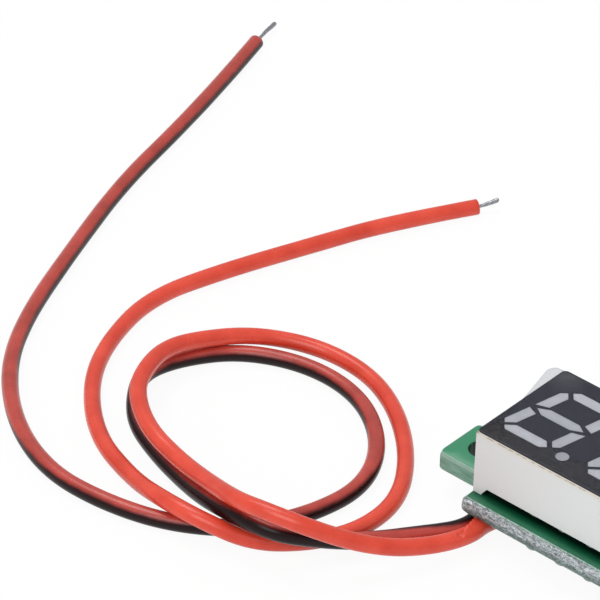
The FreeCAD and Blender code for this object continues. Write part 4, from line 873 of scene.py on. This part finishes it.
# Tan laminate: dull paper and resin, faintly mottled in patches 0.556 mm wide
tan, tan_out = new_material("tan laminate")
tan_where = add_node(tan, "TexCoord").outputs["Object"]
tan_grain = add_node(tan, "TexNoise", {"Vector": tan_where, "Scale": 1 / (0.556 * MM)})
tan_colour = add_node(tan, "Mix", {"Factor": tan_grain, "A": linear("#8A7A4E"), "B": linear("#A8976A")},
                      data_type="RGBA")
tan_look = add_node(tan, "BsdfPrincipled", {"Base Color": tan_colour, "Roughness": 0.6})
tan.node_tree.links.new(tan_look.outputs[0], tan_out.inputs["Surface"])
for node, finish in (("led_board", tan), ("led_chips", milky)):
    frame["nodes"][node].data.materials.clear()
    frame["nodes"][node].data.materials.append(finish)

# ------------------------------------------------------------------------------------------------------
# Pins and solder: tinned square pins hold the display to the board, each in a cone of solder that
# wetted the pad and climbed the pin, above the board and below.
# ------------------------------------------------------------------------------------------------------
JOINT_SIDES = 40
# Joint profiles from the board outwards: radius, then height over the board's back or top
BACK_JOINT = [(0.02, 0.04), (0.88, 0.03), (0.88, -0.3), (0.84, -0.78), (0.7, -1.28), (0.46, -1.62),
              (0.02, -1.66)]
TOP_JOINT = [(0.02, -0.02), (0.6, -0.02), (0.58, 0.04), (0.42, 0.15), (0.34, 0.4), (0.02, 0.4)]

# Tin solder, reflowed: bright grey metal with a slightly frosted skin, painted darker and greener here as
# the shade under the board and the green it reflects. Its crystals are too fine to show, so they are
# drawn 0.4 mm wide.
solder, solder_out = new_material("tin solder, reflowed")
solder_where = add_node(solder, "TexCoord").outputs["Object"]
solder_grain = add_node(solder, "TexNoise", {"Vector": solder_where, "Scale": 1 / (0.4 * MM),
                                             "Detail": 4.0})
# Painted shade and a painted green reflection darken the tin's grey
solder_colour = add_node(solder, "Mix", {"Factor": solder_grain, "A": linear("#70766F"),
                                         "B": linear("#9DA39C")}, data_type="RGBA")
solder_bump = add_node(solder, "Bump", {"Height": solder_grain, "Strength": 0.2, "Distance": 0.02 * MM})
solder_look = add_node(solder, "BsdfPrincipled", {"Base Color": solder_colour, "Metallic": 1.0,
                                                  "Roughness": 0.38, "Normal": solder_bump})
solder.node_tree.links.new(solder_look.outputs[0], solder_out.inputs["Surface"])


def solder_joint(x, y, base, profile, seed):
    """Solder round a pin: a profile of (radius, height over base), its corners cut four times, is spun.

    Each radius is multiplied by 1 + small sines of two and three times the angle, at chance phases."""
    line = np.array(profile, float)
    line[:, 1] += base
    for _ in range(4):
        cut = np.stack([line[:-1] * 0.75 + line[1:] * 0.25, line[:-1] * 0.25 + line[1:] * 0.75], axis=1)
        line = np.vstack([line[:1], cut.reshape(-1, 2), line[-1:]])
    phases = np.random.default_rng(seed).uniform(0, 6, 2)
    angle = np.linspace(0, 2 * np.pi, JOINT_SIDES, endpoint=False)
    lump = 1 + 0.035 * np.sin(2 * angle + phases[0]) + 0.02 * np.sin(3 * angle + phases[1])
    points = np.empty((len(line), JOINT_SIDES, 3))
    points[:, :, 0] = x + line[:, :1] * lump * np.cos(angle)
    points[:, :, 1] = y + line[:, :1] * lump * np.sin(angle)
    points[:, :, 2] = line[:, 1:]
    return surface("solder", points * MM)


def joined(name, parts):
    """One mesh from several."""
    work = bmesh.new()
    for part in parts:
        work.from_mesh(part)
        bpy.data.meshes.remove(part)
    mesh = bpy.data.meshes.new(name)
    work.to_mesh(mesh)
    work.free()
    mesh.shade_smooth()
    return mesh


for row, seed in (("upper", 90), ("lower", 10)):
    cones = []
    for number, (x, y) in enumerate(PIN_ROWS[row]):
        cones.append(solder_joint(x, y, BOARD_BOTTOM, BACK_JOINT, seed + number))
        cones.append(solder_joint(x, y, BOARD_TOP, TOP_JOINT, seed + number + 10))
    add_piece(f"{row}_solder_joints", joined("joints", cones), solder, "module", "solder",
              f"{row}_pin_joints")
    add_softened(f"{row}_pins", 0.04 * MM, tinned, "tinned_metal", segments=2)

# ------------------------------------------------------------------------------------------------------
# Parts on the back: black moulded packages with bent tinned leads, ceramic chips with plated ends and a
# small open trimmer, all soldered to the board's surface.
# ------------------------------------------------------------------------------------------------------

# Moulding epoxy: near black and dull. Its grains of filler are too fine to show, so they are drawn
# 0.111 mm wide.
epoxy, epoxy_out = new_material("black moulding epoxy")
epoxy_where = add_node(epoxy, "TexCoord").outputs["Object"]
epoxy_grain = add_node(epoxy, "TexNoise", {"Vector": epoxy_where, "Scale": 1 / (0.111 * MM),
                                           "Detail": 4.0})
epoxy_colour = add_node(epoxy, "Mix", {"Factor": epoxy_grain, "A": linear("#1E1E21"),
                                       "B": linear("#34343A")}, data_type="RGBA")
epoxy_bump = add_node(epoxy, "Bump", {"Height": epoxy_grain, "Strength": 0.4, "Distance": 0.015 * MM})
epoxy_look = add_node(epoxy, "BsdfPrincipled", {"Base Color": epoxy_colour, "Roughness": 0.55,
                                                "Normal": epoxy_bump})
epoxy.node_tree.links.new(epoxy_look.outputs[0], epoxy_out.inputs["Surface"])
for node in ("microcontroller", "voltage_regulator", "protection_diode"):
    add_softened(node, 0.05 * MM, epoxy, "black_epoxy")
for node in ("microcontroller_leads", "regulator_leads", "diode_terminals", "chip_terminals",
             "trimmer_terminals"):
    add_softened(node, 0.03 * MM, tinned, "tinned_metal")

# Fired ceramics: brown and dull on capacitors, black and glazed on resistors, cream on the trimmer.
# Their grains are too fine to show, so they are drawn 0.25 mm wide.
for node, slot, name, dark, light in (
        ("ceramic_capacitors", "capacitor_ceramic", "barium titanate ceramic", "#8B6B4B", "#A58660"),
        ("chip_resistors", "resistor_ceramic", "glazed chip resistor", "#1B1B1F", "#2A2A30"),
        ("trimmer_body", "trimmer_ceramic", "pale alumina", "#D8D2C2", "#E7E2D5")):
    ceramic, ceramic_out = new_material(name)
    ceramic_where = add_node(ceramic, "TexCoord").outputs["Object"]
    ceramic_grain = add_node(ceramic, "TexNoise", {"Vector": ceramic_where, "Scale": 1 / (0.25 * MM),
                                                   "Detail": 4.0})
    ceramic_colour = add_node(ceramic, "Mix", {"Factor": ceramic_grain, "A": linear(dark),
                                               "B": linear(light)}, data_type="RGBA")
    ceramic_look = add_node(ceramic, "BsdfPrincipled", {"Base Color": ceramic_colour, "Roughness": 0.45})
    ceramic.node_tree.links.new(ceramic_look.outputs[0], ceramic_out.inputs["Surface"])
    add_softened(node, 0.05 * MM, ceramic, slot)

# Brass, stamped: yellow and half bright, mottled in patches 0.333 mm wide
brass, brass_out = new_material("stamped brass")
brass_where = add_node(brass, "TexCoord").outputs["Object"]
brass_grain = add_node(brass, "TexNoise", {"Vector": brass_where, "Scale": 1 / (0.333 * MM),
                                           "Detail": 4.0})
brass_colour = add_node(brass, "Mix", {"Factor": brass_grain, "A": linear("#B08D4F"),
                                       "B": linear("#D9BC7E")}, data_type="RGBA")
brass_look = add_node(brass, "BsdfPrincipled", {"Base Color": brass_colour, "Metallic": 1.0,
                                                "Roughness": 0.32})
brass.node_tree.links.new(brass_look.outputs[0], brass_out.inputs["Surface"])
add_softened("trimmer_rotor", 0.05 * MM, brass, "brass", body="rotor")

# ------------------------------------------------------------------------------------------------------
# Lead joints: a rounded blob of solder on the board's back holds each lead's soldered strands to its
# pad. The red lead's is the right one.
# ------------------------------------------------------------------------------------------------------
BLOB_RINGS = 16
BLOB_SIDES = 36


def solder_blob(x, y, radius, depth, seed):
    """A hanging dome: its radius mixes the square of the share of depth left with a quarter circle.

    It is multiplied by 1 + small sines of two and three times the angle, at chance phases."""
    chance = np.random.default_rng(seed)
    share = np.linspace(0, 0.995, BLOB_RINGS)
    angle = np.linspace(0, 2 * np.pi, BLOB_SIDES, endpoint=False)
    reach = radius * (0.35 * (1 - share) ** 2 + 0.65 * np.sqrt(1 - share ** 2)) + 0.12 * radius
    phases = chance.uniform(0, 6, 2)
    lump = 1 + 0.05 * np.sin(2 * angle + phases[0]) + 0.03 * np.sin(3 * angle + phases[1])
    points = np.empty((BLOB_RINGS, BLOB_SIDES, 3))
    points[:, :, 0] = x + reach[:, None] * lump * np.cos(angle) * 0.9
    points[:, :, 1] = y + reach[:, None] * lump * np.sin(angle) * 0.9
    points[:, :, 2] = BOARD_BOTTOM - depth * share[:, None]
    return surface("blob", points * MM)


joints_low, joints_high = (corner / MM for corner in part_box("lead_solder_joints"))
blob_radius = (joints_high.y - joints_low.y) / 2
blobs = [solder_blob(x, joints_low.y + blob_radius, blob_radius, joints_high.z - joints_low.z, seed)
         for x, seed in ((joints_high.x - blob_radius, 5), (joints_low.x + blob_radius, 9))]
add_piece("lead_solder_blobs", joined("blobs", blobs), solder, "module", "solder", "lead_solder_joints")
